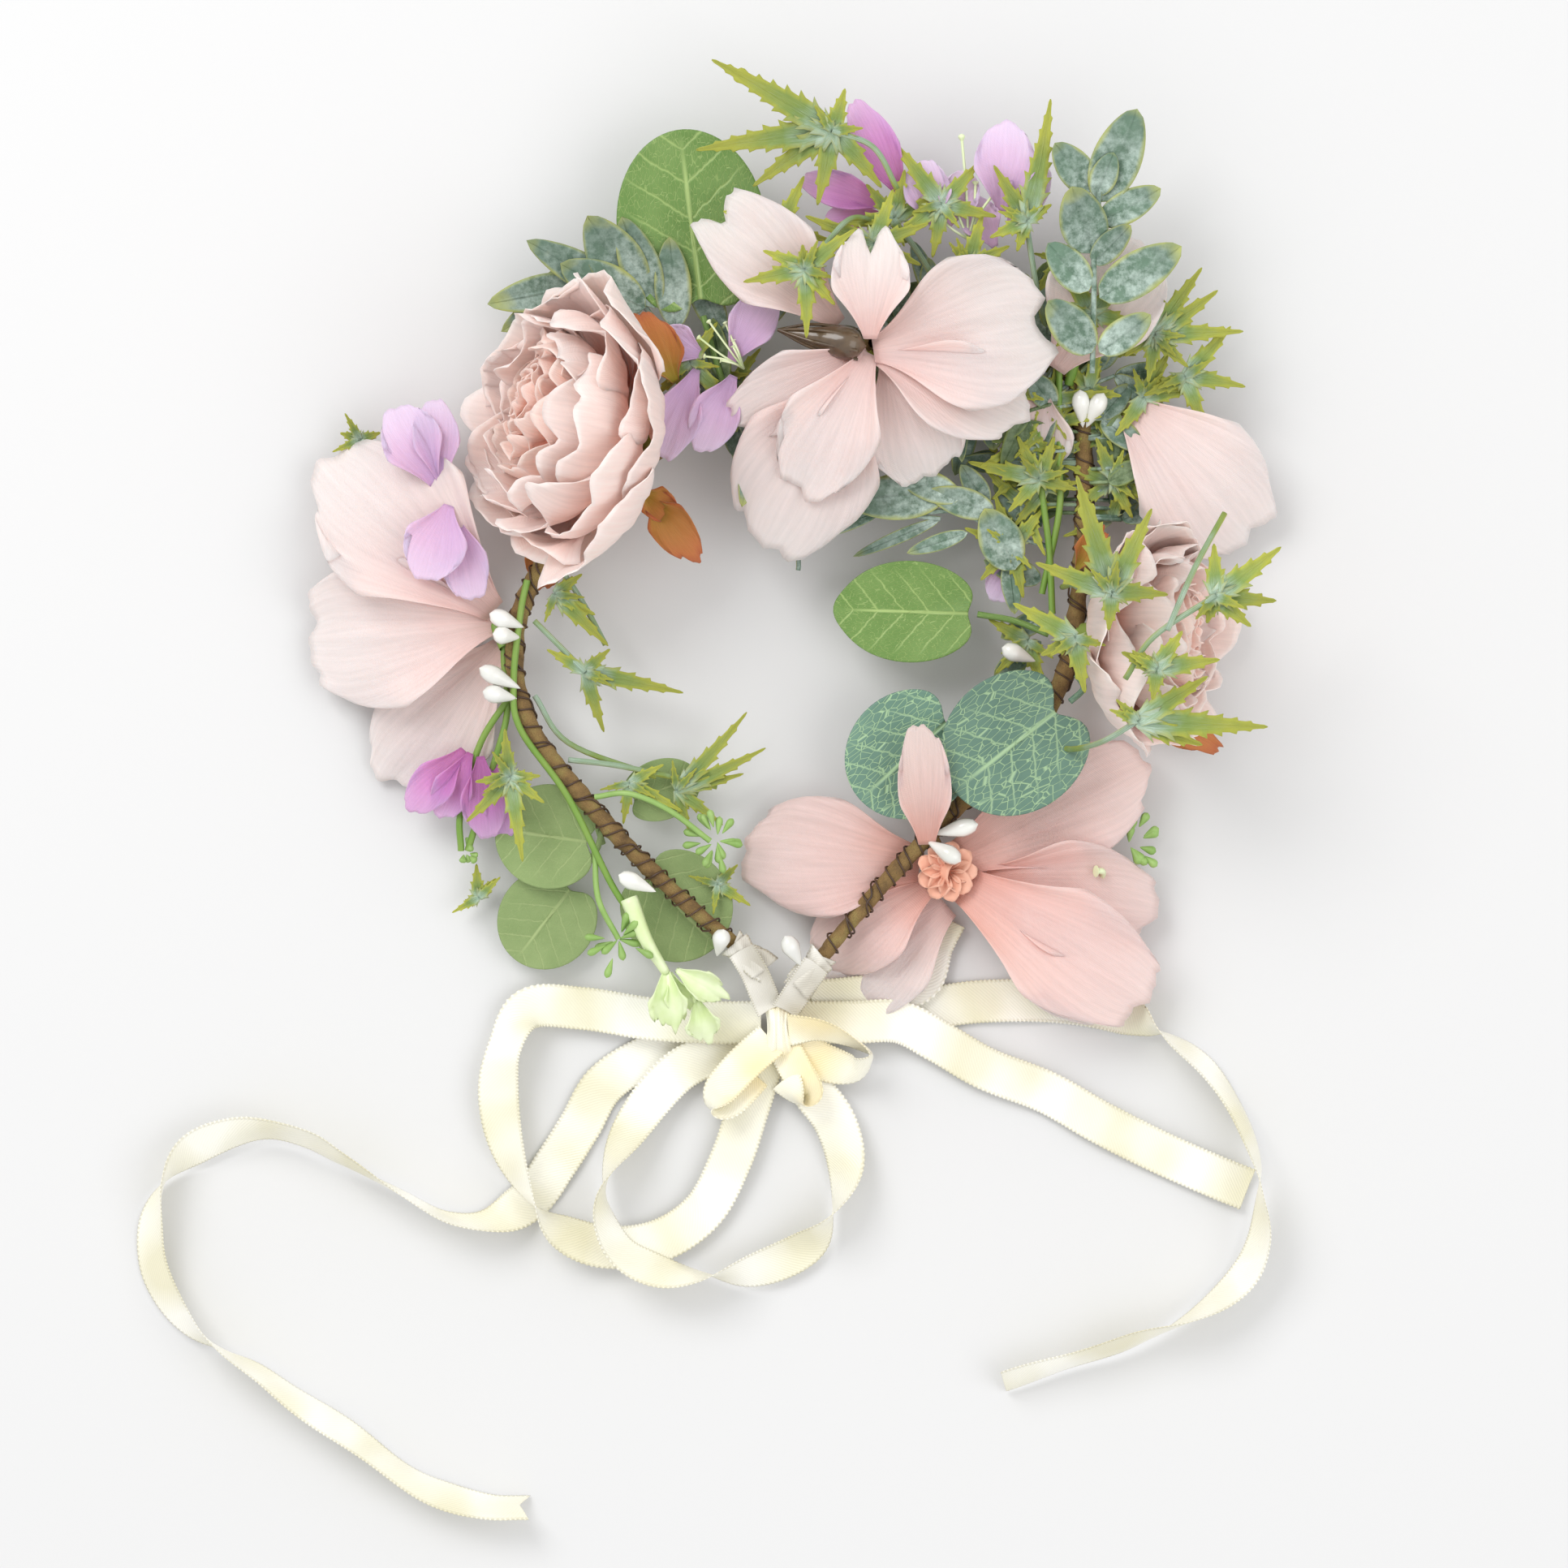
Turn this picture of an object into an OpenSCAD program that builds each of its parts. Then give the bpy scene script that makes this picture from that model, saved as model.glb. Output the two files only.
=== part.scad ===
// Flower crown: a paper-taped wire hoop in two arms, dressed with artificial flowers and
// foliage on wire stems, and closed at the back with satin ribbon.
// Millimetres. It lies on a surface at z = 0; the origin is the middle of the hoop, at the surface.

/* [Hoop] */
// Height of the hoop's centreline above the surface
hoop_z = 16; // [15:0.5:17]
// Radius of the wire inside the hoop
wire_r = 0.8; // [0.6:0.05:1]
// Outer radius of the paper tape on the wire
tape_r = 2.6; // [2.4:0.05:2.7]
// Gap between the two arms at the point where the hoop flexes
flex_gap = 0.6; // [0.5:0.1:1]

/* [Flowers] */
// Radius of the large peony
peony_r = 42; // [38:1:43]
// Radius of the small peony
small_peony_r = 34; // [30:1:35]
// Thickness of a cloth petal
petal_t = 1; // [0.8:0.1:1.2]
// Thickness of a leaf
leaf_t = 0.8; // [0.6:0.1:1]
// Radius of a flower's wire stem
stem_r = 1.2; // [1:0.05:1.3]

/* [Ribbon] */
// Width of the satin ribbon
ribbon_w = 12.7; // [10:0.1:13]
// Thickness of the satin ribbon
ribbon_t = 0.6; // [0.4:0.1:0.8]

/* [Hidden] */
$fn = 32;

// Running clearance of a peony on its peg, and the slack that keeps loose neighbours apart
peg_clear = 0.05;
slack = 0.3;
// Hair's gap between the arcs of one arm
arc_gap = 0.02;
// Number of sides of a thin stem
stem_sides = 8;

// The hoop's front middle, where its two arms meet, and the heading of the right arm there
flex_at = [18, 92];
flex_heading = 17;
// Each bend of an arm is [radius, angle]; a negative angle turns right
right_bends = [[90, -37], [16, -65], [290, -14], [60, -39], [487, 10]];
left_bends = [[184, 34], [48, 77], [340, 14]];

// Binding wire: one turn about every 7 mm of arm
bind_r = 0.35;
bind_step = 7;

// The pegs of the two peonies: where they leave the hoop, tilt from upright, and compass heading
left_peg = [[-38, 66, hoop_z], 48, 176];
right_peg = [[81, 9, hoop_z], 55, -3];
// Distances along a peg from the hoop's centreline
calyx_from = 6;
calyx_len = 8;
petals_from = calyx_from + calyx_len + 0.1;
calyx_foot_r = 3;
peg_from = tape_r - 0.5;
peg_short = 0.2;
calyx_rim_r = 5.5;
// A peony's shape as shares of its radius
cone_share = 0.55;
cone_foot_share = 0.16;
rim_share = 0.17;
core_share = 0.6;
core_at_share = 0.67;
// A petal's narrow foot as a share of its round tip
foot_share = 0.25;
web_share = 0.9;

// Where each sprig leaves the binding, as a plan point
sprig_tall_foot = [88, 84];
sprig_front_foot = [30, 138];

// Petals: [start, tip, width, height at the start, lift of the tip in degrees]
front_petals = [
    [[24, 91], [75, 98], 44, 36, 0], [[24, 90], [66, 68], 27, 33, 0],
    [[23, 90], [2, 50], 27, 32, 0], [[22, 92], [-17, 70], 20, 30, 0],
    [[21, 88], [-8, 34], 40, 28, 0], [[20, 95], [-24, 134], 28, 29, 0],
    [[24, 92], [24, 126], 20, 38, 0], [[26, 88], [40, 55], 30, 27, 0]
];
left_petals = [
    [[-88, 16], [-136, 60], 44, 10, -8], [[-90, 12], [-143, 8], 44, 10, -9],
    [[-86, 6], [-118, -34], 34, 10, -11]
];
right_petals = [[[80, 88], [103, 122], 34, 22, 0], [[98, 76], [136, 38], 38, 12, -12.5]];
tie_petals = [
    [[50, -52], [104, -32], 30, 9, -8.8], [[52, -64], [105, -99], 30, 9.5, 0],
    [[54, -62], [108, -72], 30, 10, -7], [[56, -74], [92, -98], 20, 9, -5],
    [[38, -60], [-13, -56], 34, 8, -8.6], [[40, -66], [10, -88], 24, 7, -8],
    [[42, -56], [38, -20], 12, 10, 0]
];
lilac_left_petals = [
    [[-101, 58], [-110, 76], 18, 24, 0], [[-100, 44], [-100, 22], 18, 26, 0],
    [[-96, 36], [-88, 20], 13, 23, 0]
];
lilac_middle_petals = [
    [[-16, 88], [-6, 108], 14, 23, 0], [[-18, 82], [-26, 62], 15, 23, 0],
    [[-25, 82], [-32, 62], 13, 21, 0]
];
lilac_front_petals = [
    [[32, 140], [18, 163], 13, 24, 0], [[30, 132], [4, 142], 11, 23, 0],
    [[40, 132], [40, 146], 13, 25, 0], [[60, 132], [64, 157], 18, 26, 0]
];
lilac_low_petals = [
    [[-98, -28], [-112, -44], 13, 13, 0], [[-93, -28], [-91, -52], 14, 14, 0]
];

// Round leaves: [centre, width, height above the surface, foot of the stem]
front_leaves = [[[-28, 128], 44, 21, [-22, 78]]];
inner_leaves = [[[34, 16], 32, 14, [76, 13]]];
pair_leaves = [[[68, -23], 41, 24, [84, -6]], [[37, -28], 34, 22, [60, -12]]];
low_leaves = [
    [[-71, -55], 31, 8, [-68, -38]], [[-75, -77], 27, 4, [-62, -60]],
    [[-32, -72], 32, 9, [-42, -60]], [[-46, -44], 20, 6, [-52, -44]]
];

// Long leaves: [start, tip, width, height at the start, lift of the tip in degrees]
tall_leaves = [
    [[89, 134], [100, 161], 12, 36, 0], [[88, 136], [76, 151], 9, 36, 0],
    [[88, 122], [82, 139], 11, 36, 0], [[90, 128], [106, 138], 8, 36, 0],
    [[90, 108], [111, 121], 10, 36, 0], [[87, 108], [74, 123], 9, 36, 0],
    [[88, 92], [74, 104], 9, 40, 0], [[90, 92], [104, 102], 8, 40, 0]
];
box_front_leaves = [
    [[-44, 104], [-63, 130], 13, 22, 0], [[-44, 104], [-66, 116], 11, 21, 0],
    [[-44, 106], [-77, 122], 9, 20, 0], [[-40, 104], [-51, 130], 9, 23, 0],
    [[-34, 98], [-36, 124], 9, 22.5, 0], [[-66, 116], [-90, 106], 9, 13, 0]
];
box_inner_leaves = [
    [[52, 46], [17, 48], 14, 20, 0], [[60, 44], [40, 52], 9, 20, 0], [[64, 28], [60, 46], 12, 20, 0],
    [[46, 40], [19, 31], 4, 20, 0], [[52, 36], [36, 34], 5, 20, 0], [[40, 42], [3, 28], 4, 20, 0]
];
// Spiny stars: [centre, height, lobe width, tips]
front_stars = [[[12, 155], 34, 8, [[-23, 175], [-28, 150], [-12, 140], [8, 133], [16, 166]]]];
right_stars = [
    [[92, 18], 72, 8, [[81, 52], [102, 42], [70, 28], [104, -4]]],
    [[104, -4], 72, 8, [[123, 0], [100, -20]]],
    [[122, 19], 72, 8, [[140, 32], [138, 10], [118, 36], [92, 18]]],
    [[100, -20], 72, 8, [[138, -24], [118, -12]]]
];
left_stars = [
    [[-62, -3], 14, 7, [[-32, -9], [-55, -21], [-74, 2]]],
    [[-83, -34], 22, 8, [[-79, -59], [-95, -48], [-73, -32], [-86, -20]]]
];
strap_leaves = [[[-68, 24], [-54, 8], 4, 14, 0]];
frond_leaves = [
    [[-40, -36], [-12, -16], 5, 11, 0], [[-36, -38], [-7, -26], 5, 11, 0], [[-44, -36], [-20, -46], 7, 11, 0]
];
left_sepals = [
    [[-32, 80], [-44, 101], 13, 21.5, 0], [[-40, 50], [-50, 59], 10, 20.5, 0],
    [[-44, 48], [-28, 30], 12, 20.5, 0]
];
right_sepals = [[[84, 28], [98, 38], 8, 20.5, 0], [[98, -10], [124, -26], 10, 12, 0]];

// Thin stems: lists of points that each stem passes through
left_stems = [[[-78, 24, 21], [-79, 15, 21], [-82, -9, 21], [-80, -20, 21], [-66, -40, 21], [-53, -66, 21]]];
right_stems = [[[75, 83, 21], [73, 60, 21], [76, 34, 21], [77, 14, 21]]];
bud_stems = [
    [[-52, -44, 21], [-36, -46, 21], [-24, -53, 21]], [[-58, -56, 21], [-57, -70, 21], [-52, -84, 21]]
];
bell_stems = [[[-47, -72, 21], [-42, -84, 20], [-36, -92, 19]]];

thistle_stalk = [[90, 17, 72.4], [84, 20, 71], [82, 22, 60], [82.5, 22, 19.8]];
stalk_r = 1;
bud_stem_r = 0.8;
bell_stem_r = 1.2;

// The short straight stems of the blossoms and sprigs: [from, to]
front_stem = [[24, 93.5, hoop_z + tape_r - 1], [24, 93.5, 27]];
left_stem = [[-85, 4, hoop_z - 1], [-88, 11, 11.5]];
right_stem = [[82, 82, hoop_z + tape_r - 0.5], [84, 90, 22.2]];
tie_stem = [[46, -60, 14.6], [42, -52, hoop_z + tape_r - 0.5]];
tall_stalk = [[89, 138, 36.4], [sprig_tall_foot[0], sprig_tall_foot[1], 36.4]];
front_stalk = [[14, 153, 34.4], [sprig_front_foot[0], sprig_front_foot[1], 34.4]];

// The dark calyx of the front blossom: [foot, tip] and radius
front_calyx = [[10, 96, 33], [-2, 97, 33]];
front_calyx_r = 3.2;

// The frilled base of the tie blossom: place, height and radii
tie_base_at = [46, -62, 11.5];
tie_base_h = 3;
tie_base_r = 8;
tie_base_top_r = 6;

// Pips, buds and bells: [foot, tip], and their radii
pip_r = 2.6;
bud_r = 1.5;
bell_r = 3.2;
left_pips = [
    [[-79, 10, 21], [-89, 14, 23]], [[-80, 7, 21], [-87, 9, 25]], [[-80, -8, 21], [-92, -2, 23]],
    [[-81, -11, 21], [-90, -8, 25]], [[-40, -68, 21], [-50, -64, 22]], [[-22, -87, 21], [-20, -80, 23]]
];
right_pips = [
    [[86, 69, 21], [85, 79, 24]], [[87, 69, 21], [91, 79, 23]], [[3, -90, 21], [-2, -82, 24]],
    [[42, -51, 21], [54, -49, 22]], [[40, -53, 21], [49, -59, 21]], [[72, 0, 20], [63, 4, 19]]
];
buds = [
    [[-23, -52, 21], [-14, -50, 22]], [[-22, -55, 21], [-16, -60, 20]], [[-26, -55, 21], [-25, -63, 21]],
    [[-51, -83, 21], [-44, -81, 22]], [[-50, -87, 21], [-45, -92, 21]], [[-53, -87, 21], [-54, -95, 20]]
];
bells = [
    [[-38, -94, 19], [-38, -106, 16]], [[-33, -93, 19], [-24, -97, 16]], [[-26, -103, 17], [-24, -112, 15]]
];

// The satin tab on each arm's end, and its gap from the tape
tab_size = [7, 10, 8];
tab_gap = 0.1;

// The two small loops of the bow: [corner, size]
bow_right = [[3, -123, 8], [21, 8, 5]];
bow_left = [[-30, -132, 10.5], [12, 17, 4.5]];

// The knot, and ribbon routes through it: each point is [x, y, z, turn of the ribbon about its route]
knot_at = [-4, -108, 8];
knot_r = 4.2;
knot_half = 7;
outer_route = [
    [-9, -107, 8, 0], [-24, -107, 7, 0], [-42, -106, 5, 0], [-62, -103, 4, 0], [-78, -103, 4, 15],
    [-85, -114, 5, 35], [-87, -128, 5, 20], [-84, -145, 4, 35], [-77, -160, 3.5, 82],
    [-68, -169, 3, 140], [-55, -174, 3, 170], [-39, -172, 3, 180], [-26, -163, 3.5, 180],
    [-18, -148, 4, 180], [-13, -133, 5, 180], [-8, -117, 7, 180]
];
inner_route = [
    [-8, -111, 5.5, 0], [-20, -115, 4.5, 0], [-34, -122, 3.5, 0], [-46, -136, 2, 25],
    [-54, -150, 4, 75], [-56, -162, 6, 108], [-51, -174, 6.5, 132], [-41, -180, 6, 140],
    [-28, -182, 3, 100], [-12, -181, 2, 40], [4, -174, 2, 30], [12, -164, 2.5, 85], [16, -150, 3, 150],
    [13, -137, 4, 172], [6, -127, 5, 180], [0, -117, 6, 180]
];
tail_left_route = [
    [-9, -109, 4, 0], [-28, -112, 1.6, 0], [-44, -118, 0.6, 0], [-56, -126, 0.6, 0],
    [-63, -138, 0.6, 0], [-70, -149, 0.6, 0], [-78, -160, 0.6, 0], [-90, -166, 0.9, 60],
    [-102, -165, 2, 76], [-115, -158, 3.2, 90], [-133, -148, 3.6, 106], [-143, -142, 3.6, 116],
    [-155, -139, 3.6, 122], [-166, -140, 3, 134], [-178, -145, 2, 138], [-186, -154, 1.2, 96],
    [-190, -166, 0.6, 52], [-190, -178, 0.6, 42], [-186, -188, 1, 48], [-178, -198, 2, 64],
    [-168, -205, 3, 88], [-158, -211, 3, 108], [-147, -219, 2.5, 118], [-132, -229, 2.5, 120],
    [-114, -242, 2, 118], [-102, -248, 1.2, 122], [-90, -251, 0.8, 122], [-79, -251, 0.6, 120]
];
tail_right_route = [
    [1, -107, 8, 0], [18, -107, 7, 0], [32, -107, 5, 0], [44, -113, 3.5, 0], [58, -121, 2.5, 0],
    [76, -128, 2, 0], [92, -137, 2, 0], [110, -146, 2, 0], [126, -153, 2, 0], [136, -157, 2, 0]
];
tail_long_route = [
    [1, -105, 4.5, 0], [20, -104, 2.4, 0], [40, -103, 1, 0], [57, -101, 0.6, 0], [78, -101, 0.6, 0],
    [97, -104, 0.8, 10], [107, -109, 2.5, 70], [113, -112, 3.5, 100], [124, -121, 2.5, 118],
    [133, -134, 2, 112], [138, -148, 6.2, 102], [139, -158, 6.5, 88], [139, -172, 4, 60],
    [133, -184, 2, 50], [118, -195, 2.5, 86], [100, -202, 2, 112], [79, -209, 1.5, 118],
    [63, -214, 0.6, 120]
];
riser_route = [[6, -101, 6.5, 0], [24, -99, 4, 0], [38, -95, 3, 0], [42, -84, 2.5, 0], [46, -76, 2.5, 0]];

// An arm's place and heading after one bend, as [x, y, heading]
function after_bend(pose, bend) =
    let(turn = bend[1] < 0 ? -1 : 1, r = turn * bend[0], end = pose[2] + bend[1])
    [pose[0] + r * (sin(end) - sin(pose[2])), pose[1] + r * (cos(pose[2]) - cos(end)), end];

function after_bends(pose, bends, count) =
    count == 0 ? pose : after_bend(after_bends(pose, bends, count - 1), bends[count - 1]);

right_start = [flex_at[0] + flex_gap / 2 * cos(flex_heading), flex_at[1] + flex_gap / 2 * sin(flex_heading),
    flex_heading];
left_start = [flex_at[0] - flex_gap / 2 * cos(flex_heading), flex_at[1] - flex_gap / 2 * sin(flex_heading),
    flex_heading + 180];
right_end = after_bends(right_start, right_bends, len(right_bends));
left_end = after_bends(left_start, left_bends, len(left_bends));

// One arm as tangent arcs of round bar, hollow where a bore radius is given
module bent_bar(start, bends, r, bore = 0) {
    for (i = [0 : len(bends) - 1]) {
        pose = after_bends(start, bends, i);
        turn = bends[i][1] < 0 ? -1 : 1;
        sweep_angle = abs(bends[i][1]) - arc_gap / bends[i][0] * 180 / PI;
        translate([pose[0], pose[1], hoop_z])
            rotate([0, 0, pose[2]])
                translate([0, turn * bends[i][0], 0])
                    rotate([0, 0, turn > 0 ? -90 : 90 - sweep_angle])
                        rotate_extrude(angle = sweep_angle, $fn = 96)
                            translate([bends[i][0], 0])
                                difference() {
                                    circle(r);
                                    if (bore > 0) circle(bore);
                                }
    }
}

// Turns of thin wire round an arm
module bound_turns(start, bends) {
    for (i = [0 : len(bends) - 1]) {
        pose = after_bends(start, bends, i);
        turns = floor(bends[i][0] * abs(bends[i][1]) * PI / 180 / bind_step);
        for (k = [0.5 : turns]) {
            at = after_bend(pose, [bends[i][0], bends[i][1] * k / turns]);
            translate([at[0], at[1], hoop_z])
                rotate([0, 90, at[2]])
                    rotate_extrude() translate([tape_r + bind_r + peg_clear, 0]) circle(bind_r, $fn = 16);
        }
    }
}

// A straight round rod between the two points of p
module rod(p, r) {
    run = p[1] - p[0];
    flat = norm([run[0], run[1]]);
    translate(p[0]) rotate([0, atan2(flat, run[2]), atan2(run[1], run[0])]) cylinder(h = norm(run), r = r);
}

// A closed solid through rings of corners, each ring with the same number of corners
module sweep(rings) {
    n = len(rings[0]);
    last = n * (len(rings) - 1);
    sides = [
        for (i = [0 : len(rings) - 2], k = [0 : n - 1], half = [0, 1])
        let(a = n * i + k, b = n * i + (k + 1) % n)
        half == 0 ? [a, a + n, b] : [b, a + n, b + n]
    ];
    ends = [for (k = [1 : n - 2]) each [[0, k, k + 1], [last, last + k + 1, last + k]]];
    polyhedron([for (ring = rings) each ring], concat(sides, ends));
}

// The corners of a thin stem at one of its points
function stem_ring(points, i, r) =
    let(
        ahead = points[min(i + 1, len(points) - 1)] - points[max(i - 1, 0)],
        side = [-ahead[1], ahead[0], 0] / norm([ahead[0], ahead[1]]),
        up = cross(ahead, side) / norm(ahead)
    )
    [
        for (k = [0 : stem_sides - 1])
        let(a = 360 * k / stem_sides)
        points[i] + r * (cos(a) * side + sin(a) * up)
    ];

// A thin stem through a list of points
module stem(points, r) {
    sweep([for (i = [0 : len(points) - 1]) stem_ring(points, i, r)]);
}

// Places children at a start point so that their +X runs to the tip and rises by the lift
module along(p) {
    run = p[1] - p[0];
    translate([p[0][0], p[0][1], p[3]]) rotate([0, -p[4], atan2(run[1], run[0])]) children();
}

// A cloth petal: a narrow foot that widens to a round tip
module petal(p) {
    length = norm(p[1] - p[0]);
    tip_r = p[2] / 2;
    foot_r = tip_r * foot_share;
    // The web's corners lie a little inside both rounds, so its sides cross them cleanly
    foot_half = foot_r * web_share;
    tip_half = tip_r * web_share;
    along(p) linear_extrude(petal_t) {
        translate([foot_r, 0]) circle(foot_r);
        translate([length - tip_r, 0]) circle(tip_r, $fn = 64);
        polygon([
            [foot_r, foot_half],
            [length - tip_r, tip_half],
            [length - tip_r, -tip_half],
            [foot_r, -foot_half]
        ]);
    }
}

// A long leaf, pointed at both ends: two arcs that meet
module long_leaf(p) {
    length = norm(p[1] - p[0]);
    arc_r = (length * length / 4 + p[2] * p[2] / 4) / p[2];
    along(p) linear_extrude(leaf_t) intersection() {
        translate([length / 2, arc_r - p[2] / 2]) circle(arc_r, $fn = 96);
        translate([length / 2, p[2] / 2 - arc_r]) circle(arc_r, $fn = 96);
    }
}

// A spiny star: a small disc with a pointed lobe to each tip
module star(p) {
    translate([p[0][0], p[0][1], p[1]]) cylinder(h = leaf_t, r = p[2] / 2);
    for (tip = p[3]) long_leaf([p[0], tip, p[2], p[1], 0]);
}

// A round leaf on a flat leaf stalk that runs to its foot
module round_leaf(p) {
    run = p[3] - p[0];
    translate([p[0][0], p[0][1], p[2]]) linear_extrude(leaf_t) {
        circle(p[1] / 2, $fn = 64);
        rotate(atan2(run[1], run[0])) translate([0, -leaf_t]) square([norm(run), 2 * leaf_t]);
    }
}

// A teardrop: a cone from its foot that ends in a ball
module teardrop(p, r) {
    run = p[1] - p[0];
    flat = norm([run[0], run[1]]);
    translate(p[0]) rotate([0, atan2(flat, run[2]), atan2(run[1], run[0])]) {
        cylinder(h = norm(run) - r, r1 = r / 4, r2 = r);
        translate([0, 0, norm(run) - r]) sphere(r);
    }
}

// Places children on a peg, with +Z along it and the hoop's centreline at z = 0
module on_peg(peg) {
    translate(peg[0]) rotate([0, peg[1], peg[2]]) children();
}

// The outer petals of a peony of radius r: a cone with a rolled rim, hollow for the core
module peony_petals(r) {
    cone_h = r * cone_share;
    rim_r = r * rim_share;
    translate([0, 0, petals_from]) difference() {
        union() {
            cylinder(h = cone_h, r1 = r * cone_foot_share, r2 = r - rim_r, $fn = 64);
            translate([0, 0, cone_h]) rotate_extrude($fn = 64) translate([r - rim_r, 0]) circle(rim_r);
        }
        translate([0, 0, r * core_at_share]) sphere(r * core_share + slack, $fn = 64);
    }
}

// The ball of small inner petals
module peony_core(r) {
    translate([0, 0, petals_from + r * core_at_share]) sphere(r * core_share, $fn = 64);
}

// The green cup that holds the petals and turns on the peg
module peony_calyx() {
    translate([0, 0, calyx_from]) difference() {
        cylinder(h = calyx_len, r1 = calyx_foot_r, r2 = calyx_rim_r);
        translate([0, 0, -1]) cylinder(h = calyx_len + 2, r = stem_r + peg_clear);
    }
}

// The peg, bound under the tape at its foot
module peony_peg() {
    translate([0, 0, peg_from]) cylinder(h = calyx_from + calyx_len - peg_short - peg_from, r = stem_r);
}

// Section corners of a ribbon at one point of its route
function ribbon_ring(route, i) =
    let(
        before = route[max(i - 1, 0)],
        next = route[min(i + 1, len(route) - 1)],
        ahead = [next[0] - before[0], next[1] - before[1]] / norm([next[0] - before[0], next[1] - before[1]]),
        side = [-ahead[1] * cos(route[i][3]), ahead[0] * cos(route[i][3]), sin(route[i][3])],
        up = [ahead[1] * sin(route[i][3]), -ahead[0] * sin(route[i][3]), cos(route[i][3])],
        mid = [route[i][0], route[i][1], route[i][2] + ribbon_w / 2 * abs(sin(route[i][3]))]
    )
    [
        for (c = [[-1, -1], [1, -1], [1, 1], [-1, 1]])
        mid + c[0] * side * ribbon_w / 2 + c[1] * up * ribbon_t / 2
    ];

// A flat ribbon swept along its route; a turned stretch stands on its lower edge
module ribbon(route) {
    sweep([for (i = [0 : len(route) - 1]) ribbon_ring(route, i)]);
}

module hoop_wire_right() { color("#554030") bent_bar(right_start, right_bends, wire_r); }
module hoop_wire_left() { color("#554030") bent_bar(left_start, left_bends, wire_r); }
module hoop_tape_right() { color("#785F32") bent_bar(right_start, right_bends, tape_r, wire_r); }
module hoop_tape_left() { color("#785F32") bent_bar(left_start, left_bends, tape_r, wire_r); }
module binding_wire_right() { color("#3C2E22") bound_turns(right_start, right_bends); }
module binding_wire_left() { color("#3C2E22") bound_turns(left_start, left_bends); }

// A satin tab folded over the end of an arm
module end_tab(end) {
    translate([end[0], end[1], hoop_z]) rotate([0, 0, end[2]])
        translate([tab_gap, -tab_size[1] / 2, -tab_size[2] / 2]) cube(tab_size);
}
module end_tab_right() { color("#DCD7C8") end_tab(right_end); }
module end_tab_left() { color("#DCD7C8") end_tab(left_end); }

module stem_bundle_right() { color("#6E963C") for (s = right_stems) stem(s, stalk_r); }
module stem_bundle_left() { color("#6E963C") for (s = left_stems) stem(s, stalk_r); }

module peony_left_petals() { color("#F3DED7") on_peg(left_peg) peony_petals(peony_r); }
module peony_left_core() { color("#ECB9A8") on_peg(left_peg) peony_core(peony_r); }
module peony_left_calyx() { color("#8A9A4A") on_peg(left_peg) peony_calyx(); }
module peony_left_stem() { color("#6E963C") on_peg(left_peg) peony_peg(); }
module peony_left_sepals() { color("#C4703E") for (p = left_sepals) long_leaf(p); }
module peony_right_petals() { color("#F3DED7") on_peg(right_peg) peony_petals(small_peony_r); }
module peony_right_core() { color("#ECB9A8") on_peg(right_peg) peony_core(small_peony_r); }
module peony_right_calyx() { color("#8A9A4A") on_peg(right_peg) peony_calyx(); }
module peony_right_stem() { color("#6E963C") on_peg(right_peg) peony_peg(); }
module peony_right_sepals() { color("#C4703E") for (p = right_sepals) long_leaf(p); }

module blossom_front_petals() { color("#ECD6D1") for (p = front_petals) petal(p); }
module blossom_front_calyx() { color("#4B3C2D") teardrop(front_calyx, front_calyx_r); }
module blossom_front_stem() { color("#4B3C2D") rod(front_stem, stem_r); }
module blossom_left_petals() { color("#ECD6D1") for (p = left_petals) petal(p); }
module blossom_left_stem() { color("#6E963C") rod(left_stem, stem_r); }
module blossom_right_petals() { color("#ECD6D1") for (p = right_petals) petal(p); }
module blossom_right_stem() { color("#6E963C") rod(right_stem, stem_r); }
module blossom_tie_petals() { color("#F0C8C3") for (p = tie_petals) petal(p); }
module blossom_tie_base() {
    color("#E0A488") translate(tie_base_at)
        cylinder(h = tie_base_h, r1 = tie_base_r, r2 = tie_base_top_r);
}
module blossom_tie_stem() { color("#5A4A38") rod(tie_stem, stem_r); }

module lilac_left() { color("#D9AEDA") for (p = lilac_left_petals) petal(p); }
module lilac_middle() { color("#D9AEDA") for (p = lilac_middle_petals) petal(p); }
module lilac_front() { color("#C46EB4") for (p = lilac_front_petals) petal(p); }
module lilac_low() { color("#C46EB4") for (p = lilac_low_petals) petal(p); }

module eucalyptus_front() { color("#6E964B") for (p = front_leaves) round_leaf(p); }
module eucalyptus_inner() { color("#6E964B") for (p = inner_leaves) round_leaf(p); }
module eucalyptus_pair() { color("#587C6C") for (p = pair_leaves) round_leaf(p); }
module eucalyptus_low() { color("#7D945F") for (p = low_leaves) round_leaf(p); }

module boxwood_tall() {
    color("#5A7869") {
        for (p = tall_leaves) long_leaf(p);
        rod(tall_stalk, stalk_r);
    }
}
module boxwood_front() { color("#5A7869") for (p = box_front_leaves) long_leaf(p); }
module boxwood_inner() { color("#5A7869") for (p = box_inner_leaves) long_leaf(p); }

module thistle_front() {
    color("#A5AF3C") {
        for (p = front_stars) star(p);
        rod(front_stalk, stalk_r);
    }
}
module thistle_right() {
    color("#A5AF3C") {
        for (p = right_stars) star(p);
        stem(thistle_stalk, stalk_r);
    }
}
module thistle_left() {
    color("#A5AF3C") {
        for (p = left_stars) star(p);
        for (p = strap_leaves) long_leaf(p);
    }
}
module frond_low() { color("#A5AF3C") for (p = frond_leaves) long_leaf(p); }

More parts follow.
